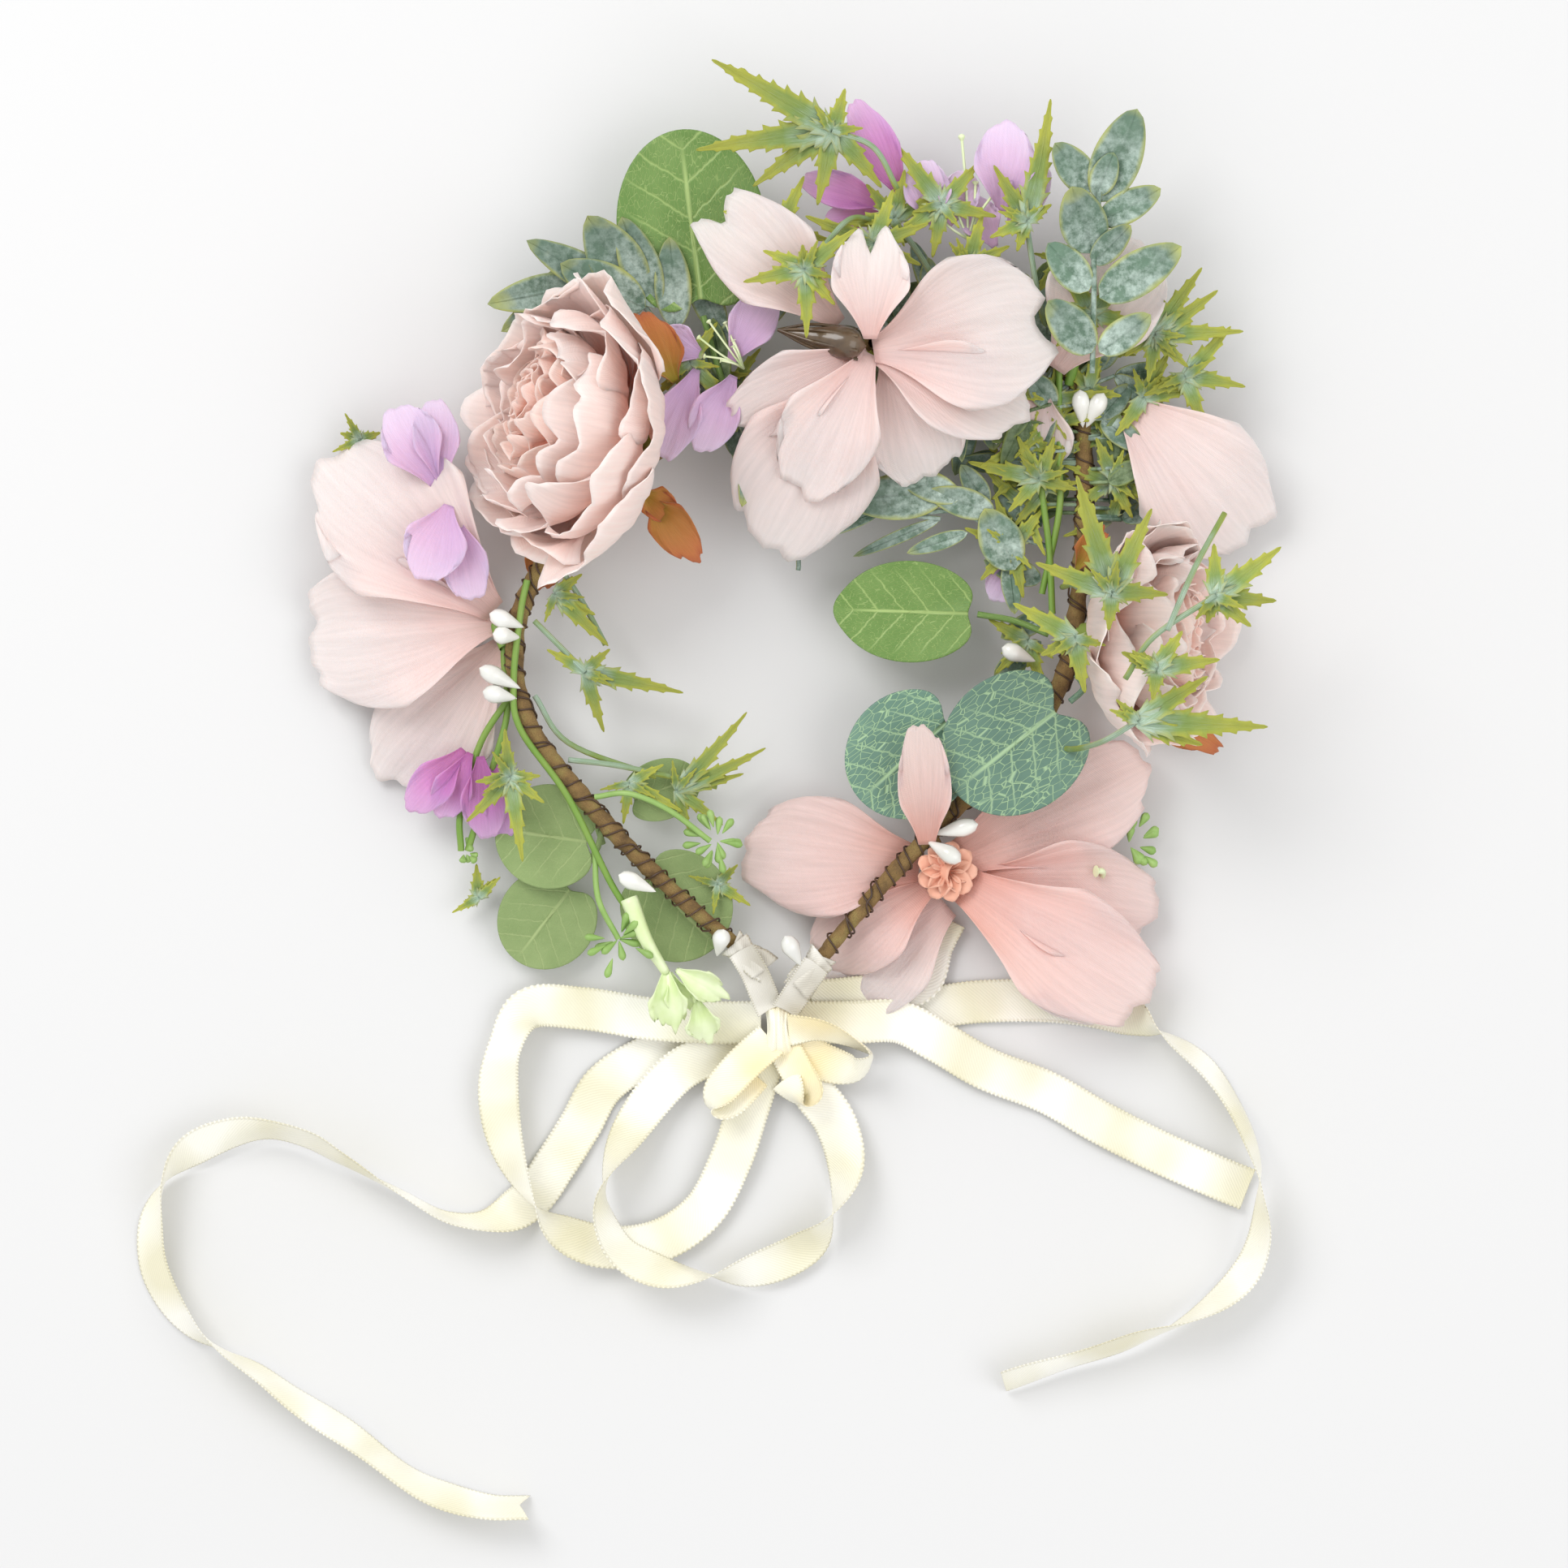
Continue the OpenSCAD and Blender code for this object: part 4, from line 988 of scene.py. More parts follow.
def petal_group(name, body, slot, nodes, petals, **shape):
    """Petals given as (foot, tip, width), with a fourth value where one differs from the group's shape."""
    surface = Surface()
    for foot, tip, width, *own in petals:
        petal(surface, foot, tip, width, **{**shape, **(own[0] if own else {})})
    surface.build(name, body, slot, nodes, PETAL_T)


# The blossoms' stems, as in part.scad: from the hoop to the flower
BLOSSOM_STEMS = (
    ("front", "hoop", "calyx_dark", ((24, 93.5, 17.6), (24, 93.5, 27.0))),
    ("left", "left_arm", "green_stem", ((-85, 4, 15.0), (-88, 11, 11.5))),
    ("right", "hoop", "green_stem", ((82, 82, 18.1), (84, 90, 22.2))),
    ("tie", "hoop", "bark_tape", ((46, -60, 14.6), (42, -52, 18.1))),
)


def build_large_blossoms():
    petal_group("front_blossom", "hoop", "blossom_cloth", ("blossom_front_petals",), (
        ((28, 88, 28), (41, 54, 24), 32),
        ((21, 87, 29), (-8, 34, 20), 43, {"cup": 0.08}),
        ((14, 99, 29), (-25, 134, 32), 29, {"notch": 0.14, "cup": 0.25}),
        ((22, 91, 31), (-17, 70, 28), 22, {"cup": 0.3}),
        ((23, 90, 32), (2, 49, 31), 29, {"cup": 0.28, "arch": 0.16}),
        ((25, 89, 33), (68, 71, 34), 28, {"cup": 0.28}),
        ((24, 91, 34), (76, 99, 36), 47, {"notch": 0.05, "cup": 0.14}),
        ((23, 94, 37), (23, 127, 41), 23, {"notch": 0.26, "cup": 0.34}),
    ), cup=0.2, arch=0.12, ruffle=0.035, scallop=0.03)
    petal_group("left_blossom", "left_arm", "blossom_cloth", ("blossom_left_petals",), (
        ((-86, 5, 8), (-120, -35, 4), 37, {"cup": 0.06, "arch": 0.06}),
        ((-87, 12, 12), (-144, 7, 6), 47, {"ruffle": 0.06}),
        ((-88, 15, 14), (-137, 60, 9), 47, {"ruffle": 0.06}),
    ), cup=0.12, arch=0.12, ruffle=0.065, scallop=0.028, columns=41)
    petal_group("right_blossom", "hoop", "blossom_cloth", ("blossom_right_petals",), (
        ((78, 86, 22), (103, 124, 24), 36),
        ((97, 78, 16), (137, 36, 8), 40, {"cup": 0.05, "arch": 0.2}),
        ((74, 80, 20), (70, 56, 16), 24),
    ), cup=0.14, arch=0.1, ruffle=0.04, scallop=0.03)


def build_tie_blossom():
    """The blossom next to the bow, with two pale petals under it."""
    petal_group("tie_blossom", "hoop", "tie_cloth", ("blossom_tie_petals",), (
        ((40, -66, 8), (8, -88, 3), 27, {"cup": 0.1}),
        ((38, -60, 10), (-14, -56, 4), 37, {"cup": 0.1}),
        ((40, -54, 20), (38, -19, 31), 16, {"cup": 0.3, "arch": 0.10}),
        ((56, -74, 9), (93, -98, 5), 21),
        ((55, -66, 11), (108, -74, 8), 36, {"cup": 0.2}),
        ((51, -66, 14), (106, -101, 12), 36, {"cup": 0.24}),
        ((50, -58, 13), (105, -31, 12), 36, {"cup": 0.10, "arch": 0.04}),
    ), cup=0.18, arch=0.14, ruffle=0.035, scallop=0.025, waist=0.3)
    petal_group("tie_lining", "hoop", "blossom_cloth", (), (
        ((46, -72, 5), (12, -102, 2), 30),
        ((60, -78, 5), (96, -104, 3), 24),
    ), cup=0.08, arch=0.05, ruffle=0.02, scallop=0.02, waist=0.3)


def build_blossom_stems():
    for name, body, slot, path in BLOSSOM_STEMS:
        stem = Surface()
        tube(stem, smooth_path(path, 5), BLOSSOM_STEM_R, 12)
        stem.build(f"{name}_stalk", body, slot, (f"blossom_{name}_stem",))


def build_small_blossoms():
    """The lilac and magenta blossoms tucked in between the large ones."""
    petal_group("lilac_left_petals", "left_arm", "lilac_cloth", ("lilac_left",), (
        ((-105, 52, 20), (-117, 75, 20), 18),
        ((-103, 52, 20), (-106, 77, 20), 14),
        ((-101, 46, 22), (-108, 24, 25), 19),
        ((-99, 42, 20), (-94, 18, 21), 14),
    ), cup=0.2, arch=0.12, scallop=0.02)
    petal_group("lilac_middle_petals", "left_arm", "lilac_cloth", ("lilac_middle",), (
        ((-18, 88, 24), (-6, 109, 25), 14),
        ((-17, 84, 24), (-27, 62, 25), 15),
        ((-28, 86, 23), (-38, 60, 23), 14),
        ((-26, 90, 22), (-40, 96, 22), 12),
    ), cup=0.25, arch=0.12, scallop=0.02)
    petal_group("lilac_front_petals", "hoop", "magenta_cloth", ("lilac_front",), (
        ((33, 136, 24), (18, 164, 28), 13),
        ((28, 134, 22), (3, 142, 24), 11),
        ((26, 132, 22), (10, 130, 22), 9),
    ), cup=0.25, arch=0.12, scallop=0.02)
    petal_group("lilac_back_petals", "hoop", "lilac_cloth", (), (
        ((42, 128, 25), (38, 147, 27), 14),
        ((46, 128, 25), (52, 144, 27), 12),
        ((62, 132, 26), (63, 158, 30), 18),
        ((64, 128, 26), (74, 146, 27), 12),
        ((60, 122, 24), (52, 136, 24), 12),
        ((64, 66, 14), (66, 54, 14), 12),
        ((66, 30, 14), (60, 18, 15), 11),
        ((112, 66, 12), (118, 52, 10), 13),
    ), cup=0.25, arch=0.12, scallop=0.02)
    petal_group("lilac_low_petals", "left_arm", "magenta_cloth", ("lilac_low",), (
        ((-97, -26, 14), (-113, -44, 12), 13),
        ((-95, -27, 15), (-104, -46, 12), 12),
        ((-92, -28, 15), (-90, -52, 12), 14),
        ((-88, -30, 14), (-84, -52, 10), 11),
    ), cup=0.25, arch=0.12, scallop=0.02)


# The coloured sepals beside each peony, as (foot, tip, width)
SEPALS = {
    "left": (((-34, 82, 24), (-44, 102, 27), 14), ((-42, 60, 22), (-55, 64, 24), 16),
             ((-42, 48, 22), (-28, 30, 24), 13), ((-44, 50, 22), (-34, 42, 24), 10),
             ((-70, 40, 10), (-74, 22, 8), 14)),
    "right": (((84, 27, 22), (92, 40, 24), 8), ((100, -10, 12), (126, -26, 10), 12)),
}


def stamens(surface, foot, tips, radius=0.35, bead=0.8):
    """Bowed threads from one foot, each with a bead at its tip."""
    foot = np.array(foot)
    for tip in np.array(tips):
        middle = (foot + tip) / 2 + np.array([rng.uniform(-1, 1), rng.uniform(-1, 1), 1.5])
        tube(surface, smooth_path((foot, middle, tip), 5), radius, 5)
        teardrop(surface, middle * 0.06 + tip * 0.94, tip + (tip - middle) * 0.12, bead)


def build_front_calyx():
    """The front blossom's dark ribbed calyx."""
    calyx = Surface()
    teardrop(calyx, (-3, 96.5, 33), (22, 92, 35), 5.2, blunt=0.75)
    for k in range(6):
        turn = WHOLE_TURN * k / 6
        around = 4.4 * np.array([0.1, math.cos(turn), math.sin(turn)])
        rib = ((-4, 97, 33), around * 0.8 + (6, 95, 34), around + (19, 92.5, 35))
        tube(calyx, smooth_path(rib, 5), TWIG_R, 5)
    calyx.build("front_calyx", "hoop", "calyx_dark", ("blossom_front_calyx",))


def build_tie_collar():
    """The tie blossom's ruffled peach collar."""
    collar = Surface()
    for k in range(9):
        turn = WHOLE_TURN * k / 9
        tip = np.array((46, -62, 18)) + 9 * towards(turn)
        petal(collar, (46, -62, 15), tip, 7, ruffle=0.14, cup=0.4, rows=10, columns=11)
    tube(collar, smooth_path(((44, -61, 12), (46, -62, 14), (49, -63, 17)), 4), 4.0, 12)
    collar.build("tie_collar", "hoop", "peach_base", ("blossom_tie_base",), PETAL_T)


def build_stamens():
    cream = Surface()
    stamens(cream, (-14, 86, 25), [(-22 + 5 * math.cos(k), 94 + 6 * math.sin(k), 28) for k in range(7)])
    cream.build("stamens_left", "left_arm", "bell_pale")
    tall = Surface()
    tall_tips = ((50, 153, 30), (54, 140, 29), (46, 138, 29), (42, 132, 29), (60, 138, 28))
    stamens(tall, (52, 124, 26), tall_tips, 0.45, 1.0)
    stamens(tall, (92, -64, 14), ((90, -62, 19),), 1.0, 1.8)
    tall.build("stamens_right", "hoop", "bell_pale")


def build_sepals():
    for side, sepals in SEPALS.items():
        petal_group(f"sepals_{side}", ARM_BODY[side], "sepal_orange", (f"peony_{side}_sepals",), sepals,
                    cup=0.3, round_tip=0.75, scallop=0.05)


# ---------------------------------------------------------------- leaves

def stems_along(surface, paths, radius, steps=8, sides=7):
    """A round stem along each path."""
    for path in paths:
        tube(surface, smooth_path(path, steps), radius, sides)


def sprig(name, body, node, leaves, stems, stem_radius, blunt):
    """Frosted leaves given as (foot, tip, width), with the stems that carry them."""
    surface = Surface()
    for foot, tip, width in leaves:
        leaf(surface, foot, tip, width, blunt=blunt)
    stems_along(surface, stems, stem_radius)
    surface.build(name, body, "leaf_frosted", (node,), LEAF_T)


def star_group(name, body, nodes, width, stars, stems):
    """Spiny stars given as (centre, tips), with the stems that carry them."""
    surface = Surface()
    for centre, tips in stars:
        for tip in tips:
            reach = math.dist(centre[:2], tip[:2])
            spiny_leaf(surface, centre, tip, width * (0.72 + reach / 55), teeth=max(4, int(reach / 4.5)),
                       bend=rng.uniform(-0.06, 0.06), curl=rng.uniform(-0.05, 0.10))
        for _ in range(2):
            turn = rng.uniform(0, 6.28)
            small = np.array(centre) + 9 * towards(turn) + 2 * UP
            spiny_leaf(surface, centre, small, width * 0.6, teeth=4)
    stems_along(surface, stems, SPRIG_STEM_R)
    surface.build(name, body, "thistle_green", nodes, MOULDED_T)


def round_leaves(name, body, slot, node, leaves, stems):
    """Round leaves, each given as round_leaf takes it, with the stems that carry them."""
    surface = Surface()
    for shape in leaves:
        round_leaf(surface, *shape)
    stems_along(surface, stems, LEAF_STEM_R)
    surface.build(name, body, slot, (node,), MOULDED_T)


def build_round_leaves():
    """Eucalyptus: foot, heading, length, width, rise and, where they differ, cleft and point."""
    round_leaves("leaf_front", "left_arm", "leaf_green", "eucalyptus_front", (
        ((-26, 100, 20), 97, 57, 44, 2, 0.08),
    ), (((-26, 102, 20), (-22, 88, 19), (-18, 76, 17)),))
    round_leaves("leaf_inner", "hoop", "leaf_green", "eucalyptus_inner", (
        ((56, 14, 17), 178, 42, 30, -2, 0.06, 0.08),
    ), (((55, 14, 17), (66, 12, 18), (76, 8, 18)),))
    round_leaves("leaf_pair", "leaf_pair", "leaf_blue", "eucalyptus_pair", (
        ((84, -10, 25), 218, 46, 41, 1, 0.12),
        ((50, -14, 22), 222, 40, 37, -2, 0.1),
    ), (((84, -4, 24), (86, -8, 25), (82, -12, 26)), ((60, -12, 23), (54, -14, 23), (48, -17, 22))))
    round_leaves("leaf_low", "left_arm", "leaf_olive", "eucalyptus_low", (
        ((-56, -54, 9), 172, 32, 31, 0),
        ((-63, -64, 5), 232, 31, 29, 0),
        ((-46, -60, 9), 314, 34, 33, -2),
        ((-50, -42, 8), 20, 24, 18, 0),
    ), (((-56, -54, 10), (-58, -48, 12), (-62, -42, 14)), ((-62, -62, 6), (-58, -56, 10), (-56, -50, 13))))


def build_long_leaves():
    sprig("tall_sprig", "sprig_tall", "boxwood_tall", (
        ((90, 134, 37), (101, 161, 40), 14.5), ((88, 137, 37), (77, 151, 40), 10.5),
        ((88, 119, 37), (82, 138, 42), 14), ((90, 128, 37), (108, 138, 38), 9.5),
        ((90, 106, 37), (114, 121, 39), 13), ((87, 108, 37), (75, 122, 38), 10.5),
        ((88, 90, 38), (75, 105, 40), 12), ((90, 90, 38), (105, 101, 39), 9.5),
        ((89, 136, 37), (94, 148, 41), 8), ((88, 116, 37), (99, 127, 40), 8),
    ), (((88, 84, 36.4), (88.5, 108, 37), (88.5, 120, 37), (90, 137, 38)),), SPRIG_STEM_R, 0.55)
    sprig("front_sprig", "left_arm", "boxwood_front", (
        ((-44, 106, 22), (-60, 131, 26), 16), ((-43, 104, 24), (-68, 117, 26), 14),
        ((-46, 106, 21), (-78, 124, 24), 11), ((-40, 104, 23), (-50, 131, 24), 12),
        ((-34, 98, 22), (-36, 125, 24), 11), ((-60, 112, 12), (-90, 106, 14), 11),
        ((-64, 112, 10), (-86, 98, 12), 8), ((-62, 116, 10), (-76, 108, 14), 9),
        ((-30, 88, 20), (-46, 100, 21), 8), ((-52, 118, 21), (-60, 110, 22), 8),
        ((-22, 92, 17), (-8, 104, 18), 9), ((-20, 96, 17), (-31, 119, 20), 9),
        ((-14, 96, 16), (2, 112, 18), 8), ((-28, 84, 17), (-44, 92, 19), 9),
        ((-26, 82, 16), (-16, 68, 16), 8), ((-56, 104, 12), (-76, 90, 11), 9),
        ((-54, 100, 12), (-60, 122, 16), 9),
    ), (((-24, 78, 17), (-34, 92, 20), (-46, 108, 22), (-58, 122, 24)),), SPRIG_STEM_R, 0.62)
    sprig("inner_sprig", "hoop", "boxwood_inner", (
        ((46, 50, 20), (16, 47, 23), 14), ((50, 48, 21), (30, 56, 21), 9),
        ((60, 44, 20), (40, 50, 22), 9), ((66, 27, 20), (57, 45, 22), 13),
        ((44, 42, 20), (18, 31, 15), 4), ((52, 38, 20), (34, 32, 19), 5), ((26, 44, 19), (1, 36, 17), 5),
        ((64, 30, 18), (66, 14, 19), 6), ((58, 46, 19), (50, 58, 21), 7), ((74, 24, 15), (57, 30, 17), 8),
        ((74, 40, 16), (60, 53, 17), 9), ((76, 14, 14), (62, 7, 15), 7), ((74, 6, 13), (60, -4, 14), 7),
        ((72, 52, 15), (84, 66, 16), 8), ((72, 62, 14), (58, 70, 14), 8),
    ), (
        ((76, 34, 17), (62, 38, 20), (50, 44, 20), (40, 44, 20)),
        ((44, 42, 20), (22, 44, 19), (4, 36, 17), (2, 27, 16)),
    ), 0.6, 0.6)


def build_stars():
    star_group("front_star", "sprig_front", ("thistle_front",), 9.0, (
        ((12, 155, 36), ((-23, 176, 38), (-28, 150, 36), (-12, 140, 35), (8, 133, 36), (16, 167, 38),
                         (27, 139, 36))),
    ), (((12, 155, 36), (24, 150, 37), (31, 138, 35)),))
    star_group("middle_stars", "hoop", (), 8.0, (
        ((4, 114, 43), ((-14, 110, 43), (-8, 120, 43), (3, 121, 44), (12, 103, 43), (5, 94, 42),
                        (18, 126, 44))),
        ((69, 129, 32), ((78, 164, 34), (59, 145, 33), (58, 124, 33), (66, 120, 32), (76, 134, 33))),
        ((107, 96, 26), ((120, 116, 27), (133, 97, 26), (105, 82, 25), (126, 108, 27), (116, 86, 25),
                         (98, 90, 25))),
        ((30, 130, 28), ((14, 128, 28), (34, 144, 29), (22, 140, 28), (42, 136, 28))),
        ((73, 54, 22), ((52, 58, 22), (66, 66, 22), (64, 44, 22), (78, 66, 22), (84, 50, 22))),
        ((95, 54, 20), ((112, 62, 20), (106, 48, 20), (90, 66, 20), (100, 42, 19))),
        ((80, 118, 24), ((94, 128, 26), (72, 108, 24), (90, 108, 24))),
        ((104, 78, 20), ((96, 66, 20), (118, 80, 20), (112, 92, 21))),
        ((24, 122, 33), ((4, 130, 33), (12, 112, 34), (38, 116, 34), (30, 138, 34), (20, 106, 35),
                         (40, 128, 33))),
        ((44, 134, 30), ((30, 152, 31), (56, 146, 31), (60, 130, 31), (42, 118, 31), (30, 124, 31))),
        ((52, 116, 28), ((38, 112, 29), (64, 122, 29), (56, 132, 29), (66, 108, 29))),
        ((-4, 126, 30), ((-20, 132, 31), (-14, 116, 31), (4, 142, 31), (12, 124, 31))),
        ((88, 102, 28), ((78, 120, 29), (100, 114, 29), (104, 98, 29), (78, 92, 29))),
        ((116, 84, 22), ((130, 98, 22), (134, 82, 21), (122, 68, 21), (104, 78, 22))),
        ((65, 34, 19), ((51, 39, 19), (60, 49, 19), (56, 24, 18), (75, 45, 19), (69, 19, 18))),
        ((72, 70, 18), ((58, 78, 19), (64, 58, 18), (84, 76, 19), (80, 60, 18))),
        ((70, 6, 16), ((58, 12, 16), (60, -3, 16), (74, -8, 16))),
    ), (
        ((69, 128, 31), (72, 110, 28), (75, 98, 18)),
        ((105, 94, 25), (94, 92, 22), (84, 84, 18)),
        ((30, 130, 28), (40, 116, 24), (50, 96, 18)),
        ((4, 112, 42), (12, 124, 40), (20, 130, 32), (34, 124, 22)),
    ))
    star_group("right_stars", "hoop", ("thistle_right",), 9.0, (
        ((92, 19, 72), ((81, 52, 71), (103, 43, 72), (70, 27, 70), (108, 19, 72), (91, 8, 71))),
        ((82, 6, 60), ((64, 16, 60), (72, 1, 59), (84, -10, 59))),
        ((105, -3, 70), ((123, 0, 68), (104, -12, 69), (95, 2, 70), (112, 8, 70))),
        ((122, 18, 66), ((142, 32, 60), (140, 16, 60), (132, 9, 62), (120, 10, 66), (122, 33, 64))),
        ((100, -18, 62), ((139, -20, 50), (120, -5, 58), (119, -26, 54))),
    ), (
        ((122, 18, 66), (104, 6, 70), (96, -6, 68)),
        ((100, -18, 62), (90, -24, 52), (82, -26, 30), (78, -24, 16)),
        ((92, 19, 72), (84, 20, 66), (82, 22, 40), (80, 22, 18)),
        ((108, 8, 70), (116, 26, 68), (125, 42, 62)),
    ))
    star_group("left_stars", "left_arm", ("thistle_left",), 7.0, (
        ((-61, -3, 16), ((-32, -9, 17), (-56, -21, 15), (-72, 4, 17), (-54, 4, 17))),
        ((-83, -34, 23), ((-79, -59, 22), (-93, -36, 23), (-95, -48, 22), (-74, -34, 23), (-73, -42, 23),
                          (-85, -20, 24))),
        ((-70, 20, 16), ((-54, 5, 14), (-58, 14, 15), (-62, 26, 16))),
        ((-30, 88, 22), ((-16, 74, 21), (-40, 78, 20), (-22, 100, 22))),
        ((-128, 66, 8), ((-134, 68, 8), (-122, 68, 8), (-126, 60, 8))),
        ((-93, -70, 5), ((-98, -72, 5), (-88, -64, 6), (-94, -60, 6))),
    ), (((-61, -3, 16), (-70, 6, 17), (-76, 12, 17)),))
    star_group("low_fronds", "left_arm", ("frond_low",), 6.0, (
        ((-34, -38, 12), ((-12, -16, 14), (-7, -27, 13), (-14, -34, 12), (-20, -48, 11), (-30, -50, 11))),
        ((-48, -36, 12), ((-32, -44, 12), (-38, -30, 13), (-50, -48, 12))),
        ((-22, -66, 10), ((-12, -72, 10), (-16, -60, 10))),
    ), (
        ((-66, -29, 15), (-50, -31, 13), (-22, -37, 12)),
        ((-76, -10, 14), (-66, -24, 13), (-40, -34, 12)),
        ((-70, 30, 16), (-62, 18, 15), (-55, 5, 14)),
    ))


def clear_of_peonies(*points):
    """Whether every point stays outside the room that the two peony heads turn in."""
    for foot, tilt, heading, radius in PEGS.values():
        head = np.array(foot) + peg_axes(tilt, heading)[0] * (PETALS_FROM + radius * 0.45)
        if min(np.linalg.norm(np.array(p) - head) for p in points) < radius * 1.16:
            return False
    return True


def undergrowth(side, start, stop, stars, leaves):
    """Small leaves and stars bound in close to the arm, low down between the flowers."""
    path = arm_path(side)
    outward = 1 if side == "right" else -1
    for name, slot, count, spread in (
        ("stars", "thistle_green", stars, 20),
        ("leaves", "leaf_frosted", leaves, 22),
        ("dark_leaves", "leaf_dark", leaves // 2, 18),
    ):
        surface = Surface()
        for k in range(count):
            index = int(len(path) * (start + (stop - start) * (k + rng.random()) / count))
            at, ahead = path[index], unit(path[index] - path[index - 4])
            across = outward * np.array([ahead[1], -ahead[0], 0])
            away = rng.choice((-0.55, 1.0)) * rng.uniform(0.2, 1) * spread
            centre = at + across * away + rng.uniform(-7, 5) * UP
            if not clear_of_peonies(at, centre):
                continue
            stems_along(surface, ((at, (at + centre) / 2 + 2 * UP, centre),), TWIG_R, 5, 5)
            if slot == "thistle_green":
                for j in range(5):
                    turn = WHOLE_TURN * j / 5 + rng.uniform(-0.3, 0.3)
                    reach = rng.uniform(8, 17)
                    tip = centre + reach * towards(turn, rng.uniform(-0.1, 0.3))
                    if clear_of_peonies((centre + tip) / 2, tip):
                        spiny_leaf(surface, centre, tip, 6.5, teeth=4, bend=rng.uniform(-0.1, 0.1))
            else:
                for j in range(2):
                    turn = math.atan2(across[1] * away, across[0] * away) + rng.uniform(-1.3, 1.3)
                    reach = rng.uniform(12, 20)
                    tip = centre + reach * towards(turn, rng.uniform(-0.2, 0.3))
                    if clear_of_peonies((centre + tip) / 2, tip):
                        leaf(surface, centre, tip, rng.uniform(5, 9), roll=rng.uniform(-30, 30), blunt=0.62)
        surface.build(f"under_{name}_{side}", ARM_BODY[side], slot, (), LEAF_T)


# ---------------------------------------------------------------- small trim

# The white pips along each arm, as (foot, tip) seen from above
PIPS = {
    "left": (((-79, 10), (-89, 14)), ((-80, 7), (-88, 8)), ((-80, -8), (-92, -2)), ((-81, -11), (-91, -9)),
             ((-40, -68), (-51, -63)), ((-22, -87), (-20, -79))),
    "right": (((86, 69), (85, 80)), ((87, 69), (92, 79)), ((3, -90), (-2, -81)), ((42, -51), (55, -48)),
              ((40, -53), (50, -59)), ((72, 0), (62, 4))),
}


# The green stems that lie on each arm under the binding, and the top of the tape that they lie on
TAPE_TOP = HOOP_Z + TAPE_R + 1.2
GREEN_STEMS = {
    "left": (
        ((-78, 24, TAPE_TOP), (-80, 14, TAPE_TOP), (-82, -6, TAPE_TOP), (-80, -20, TAPE_TOP),
         (-66, -40, TAPE_TOP), (-53, -66, TAPE_TOP), (-46, -76, TAPE_TOP)),
        ((-80, 20, 15), (-85, 4, 14), (-84, -14, 15), (-88, -30, 14), (-96, -56, 10)),
        ((-83, -10, 16), (-92, -24, 14), (-98, -44, 12), (-98, -56, 10)),
    ),
    "right": (
        ((75, 83, TAPE_TOP), (73, 60, TAPE_TOP), (76, 34, TAPE_TOP), (77, 14, TAPE_TOP)),
        ((79, 86, TAPE_TOP), (79, 60, TAPE_TOP), (79, 44, TAPE_TOP), (74, 20, TAPE_TOP - 2)),
        ((70, 2, 14), (66, -6, 12), (58, -14, 12)),
    ),
}


def build_pips():
    for side, body in ARM_BODY.items():
        pips = Surface()
        for foot, tip in PIPS[side]:
            teardrop(pips, (*foot, HOOP_Z + 4), (*tip, HOOP_Z + 7), 2.7, rng.random())
        pips.build(f"pips_{side}", body, "pip_white", (f"berry_pips_{side}",))


def build_green_stems():
    for side, body in ARM_BODY.items():
        stems = Surface()
        stems_along(stems, GREEN_STEMS[side], GREEN_STEM_R, 10, 8)
        stems.build(f"green_stems_{side}", body, "green_stem", (f"stem_bundle_{side}",))


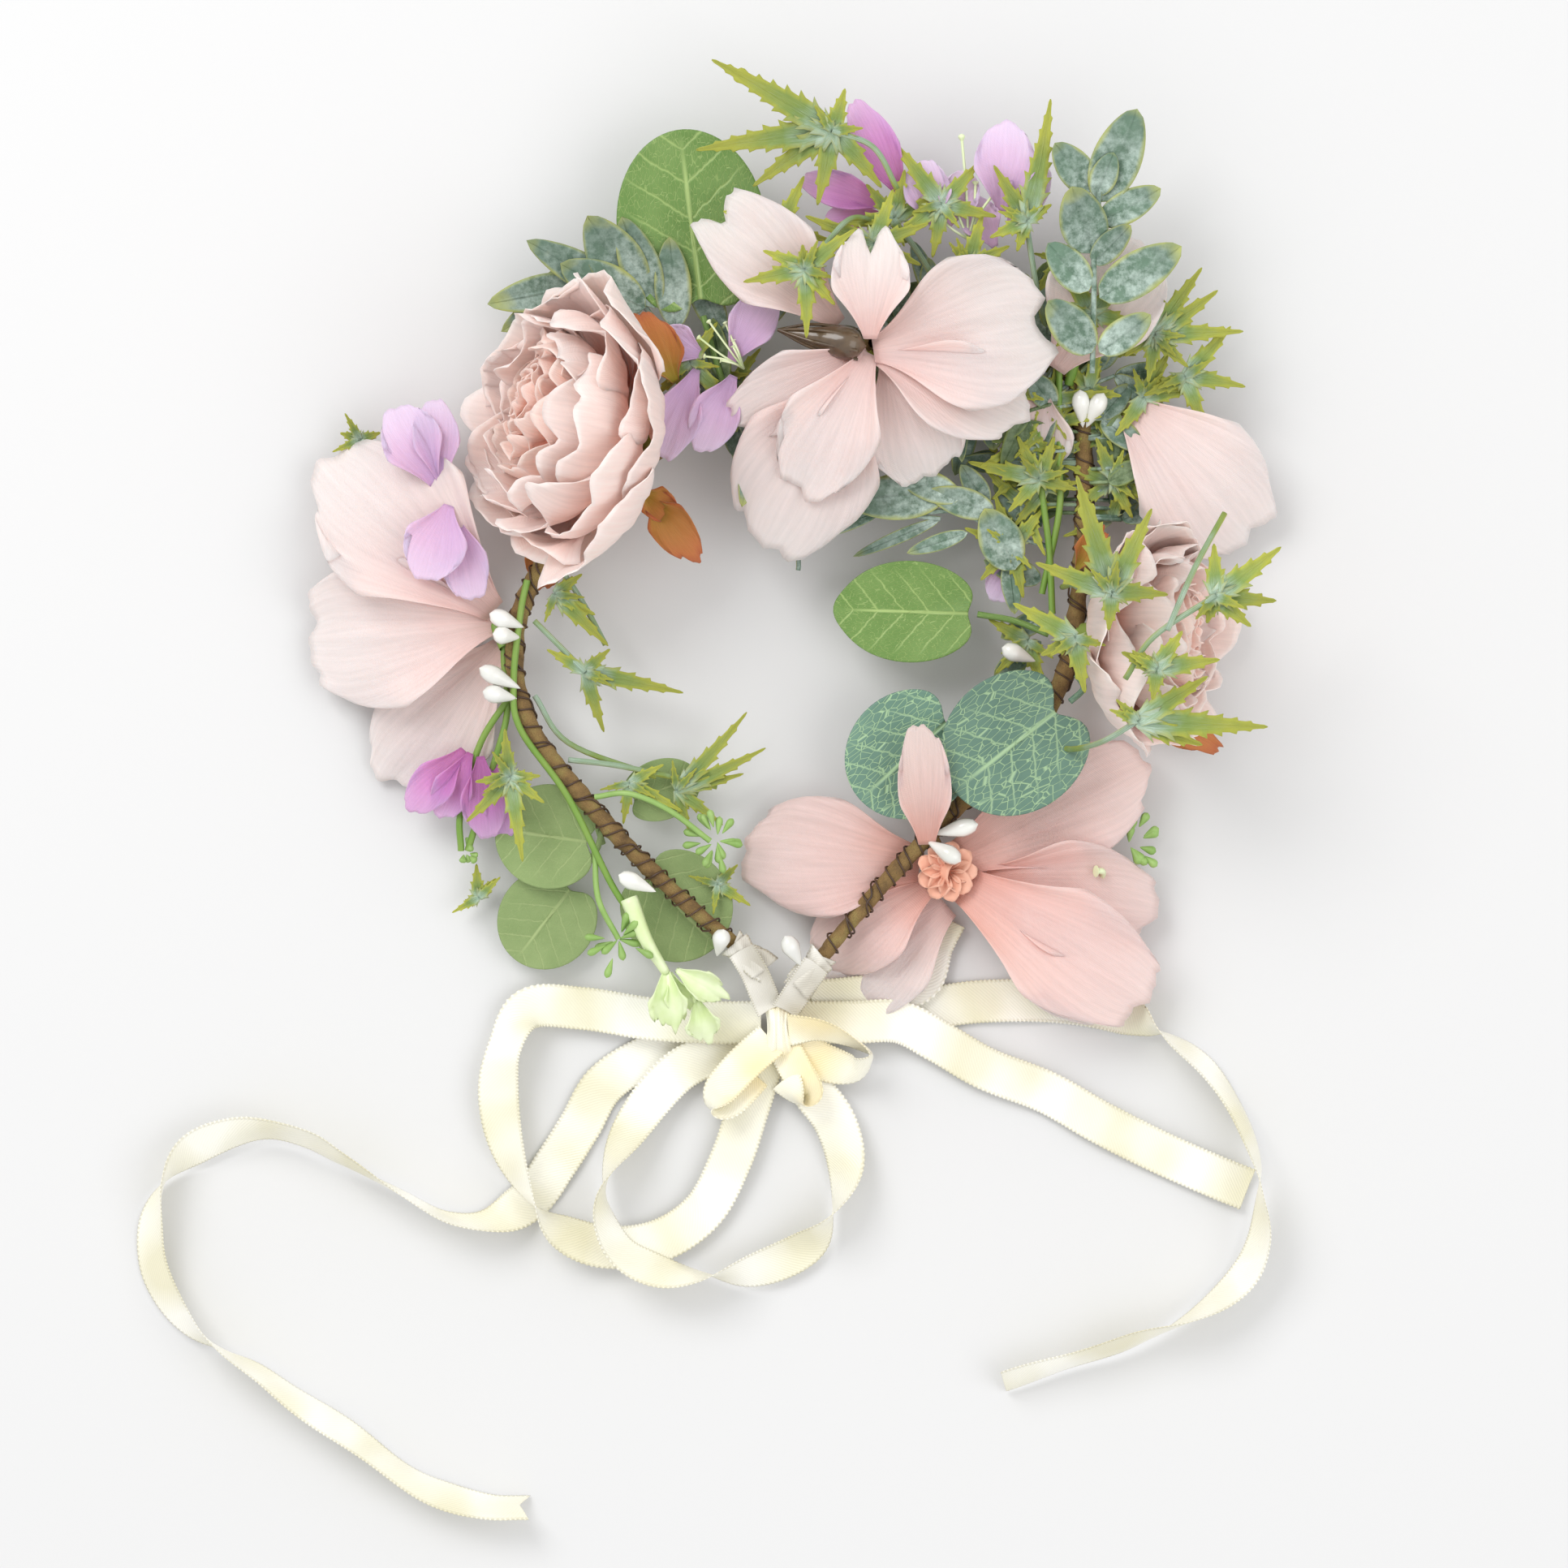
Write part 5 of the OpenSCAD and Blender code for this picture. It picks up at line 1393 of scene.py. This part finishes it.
def build_buds():
    sprays = Surface()
    for centre, count, reach in (((-51, -82, 20), 14, 12), ((-22, -53, 20), 16, 11), ((-97, -56, 10), 6, 5)):
        for _ in range(count):
            turn = rng.uniform(0, WHOLE_TURN)
            out = towards(turn, rng.uniform(-0.3, 0.4))
            start = np.array(centre) + out * reach * rng.uniform(0.0, 0.5)
            teardrop(sprays, start, start + out * reach * 0.5, 1.1, rng.random(), 0.7)
    stems_along(sprays, (
        ((-58, -40, 18), (-48, -39, 21), (-36, -44, 22), (-24, -53, 20)),
        ((-58, -56, 18), (-57, -70, 20), (-51, -82, 20)),
    ), 0.9)
    sprays.build("bud_sprays", "left_arm", "bud_green", ("bud_spray",))
    tie_buds = Surface()
    for _ in range(12):
        turn = rng.uniform(-1.2, 1.6)
        start = np.array((100, -54, 11)) + towards(turn) * rng.uniform(0, 6)
        teardrop(tie_buds, start, start + 5 * towards(turn, 0.2), 1.3, rng.random(), 0.7)
    tie_buds.build("tie_buds", "hoop", "bud_green")


def build_bells():
    """The pale spray: a stem that thins towards its bells."""
    bells = Surface()
    stem = smooth_path(((-48, -70, 20), (-43, -82, 21), (-37, -92, 19)), 8)
    tube(bells, stem, np.linspace(2.6, 1.2, len(stem)), 10)
    for foot, tip, width in (
        ((-37, -91, 19), (-36, -108, 17), 11),
        ((-34, -91, 20), (-20, -99, 18), 9),
        ((-28, -100, 18), (-25, -112, 16), 10),
        ((-36, -92, 18), (-31, -104, 15), 9),
    ):
        petal(bells, foot, tip, width, cup=0.5, arch=0.15, scallop=0.08)
    bells.build("bells", "left_arm", "bell_pale", ("bell_spray",), BELL_T)


# ---------------------------------------------------------------- build

make_petal_materials()
make_leaf_materials()
make_other_materials()
make_camera()
make_floor()
make_light()
build_hoop("right", "hoop")
build_hoop("left", "left_arm")
build_ribbons()
build_knot()
build_bow()
for side, body in ARM_BODY.items():
    end_tab(side, body)
for side in ARM_BODY:
    build_peony_petals(side, f"peony_{side}")
    build_peony_cup(side, f"peony_{side}")
build_large_blossoms()
build_tie_blossom()
build_blossom_stems()
build_small_blossoms()
build_front_calyx()
build_tie_collar()
build_stamens()
build_sepals()
build_round_leaves()
build_long_leaves()
build_stars()
build_pips()
build_green_stems()
build_buds()
build_bells()
undergrowth("right", start=0.02, stop=0.62, stars=46, leaves=64)
undergrowth("left", start=0.14, stop=0.44, stars=24, leaves=34)
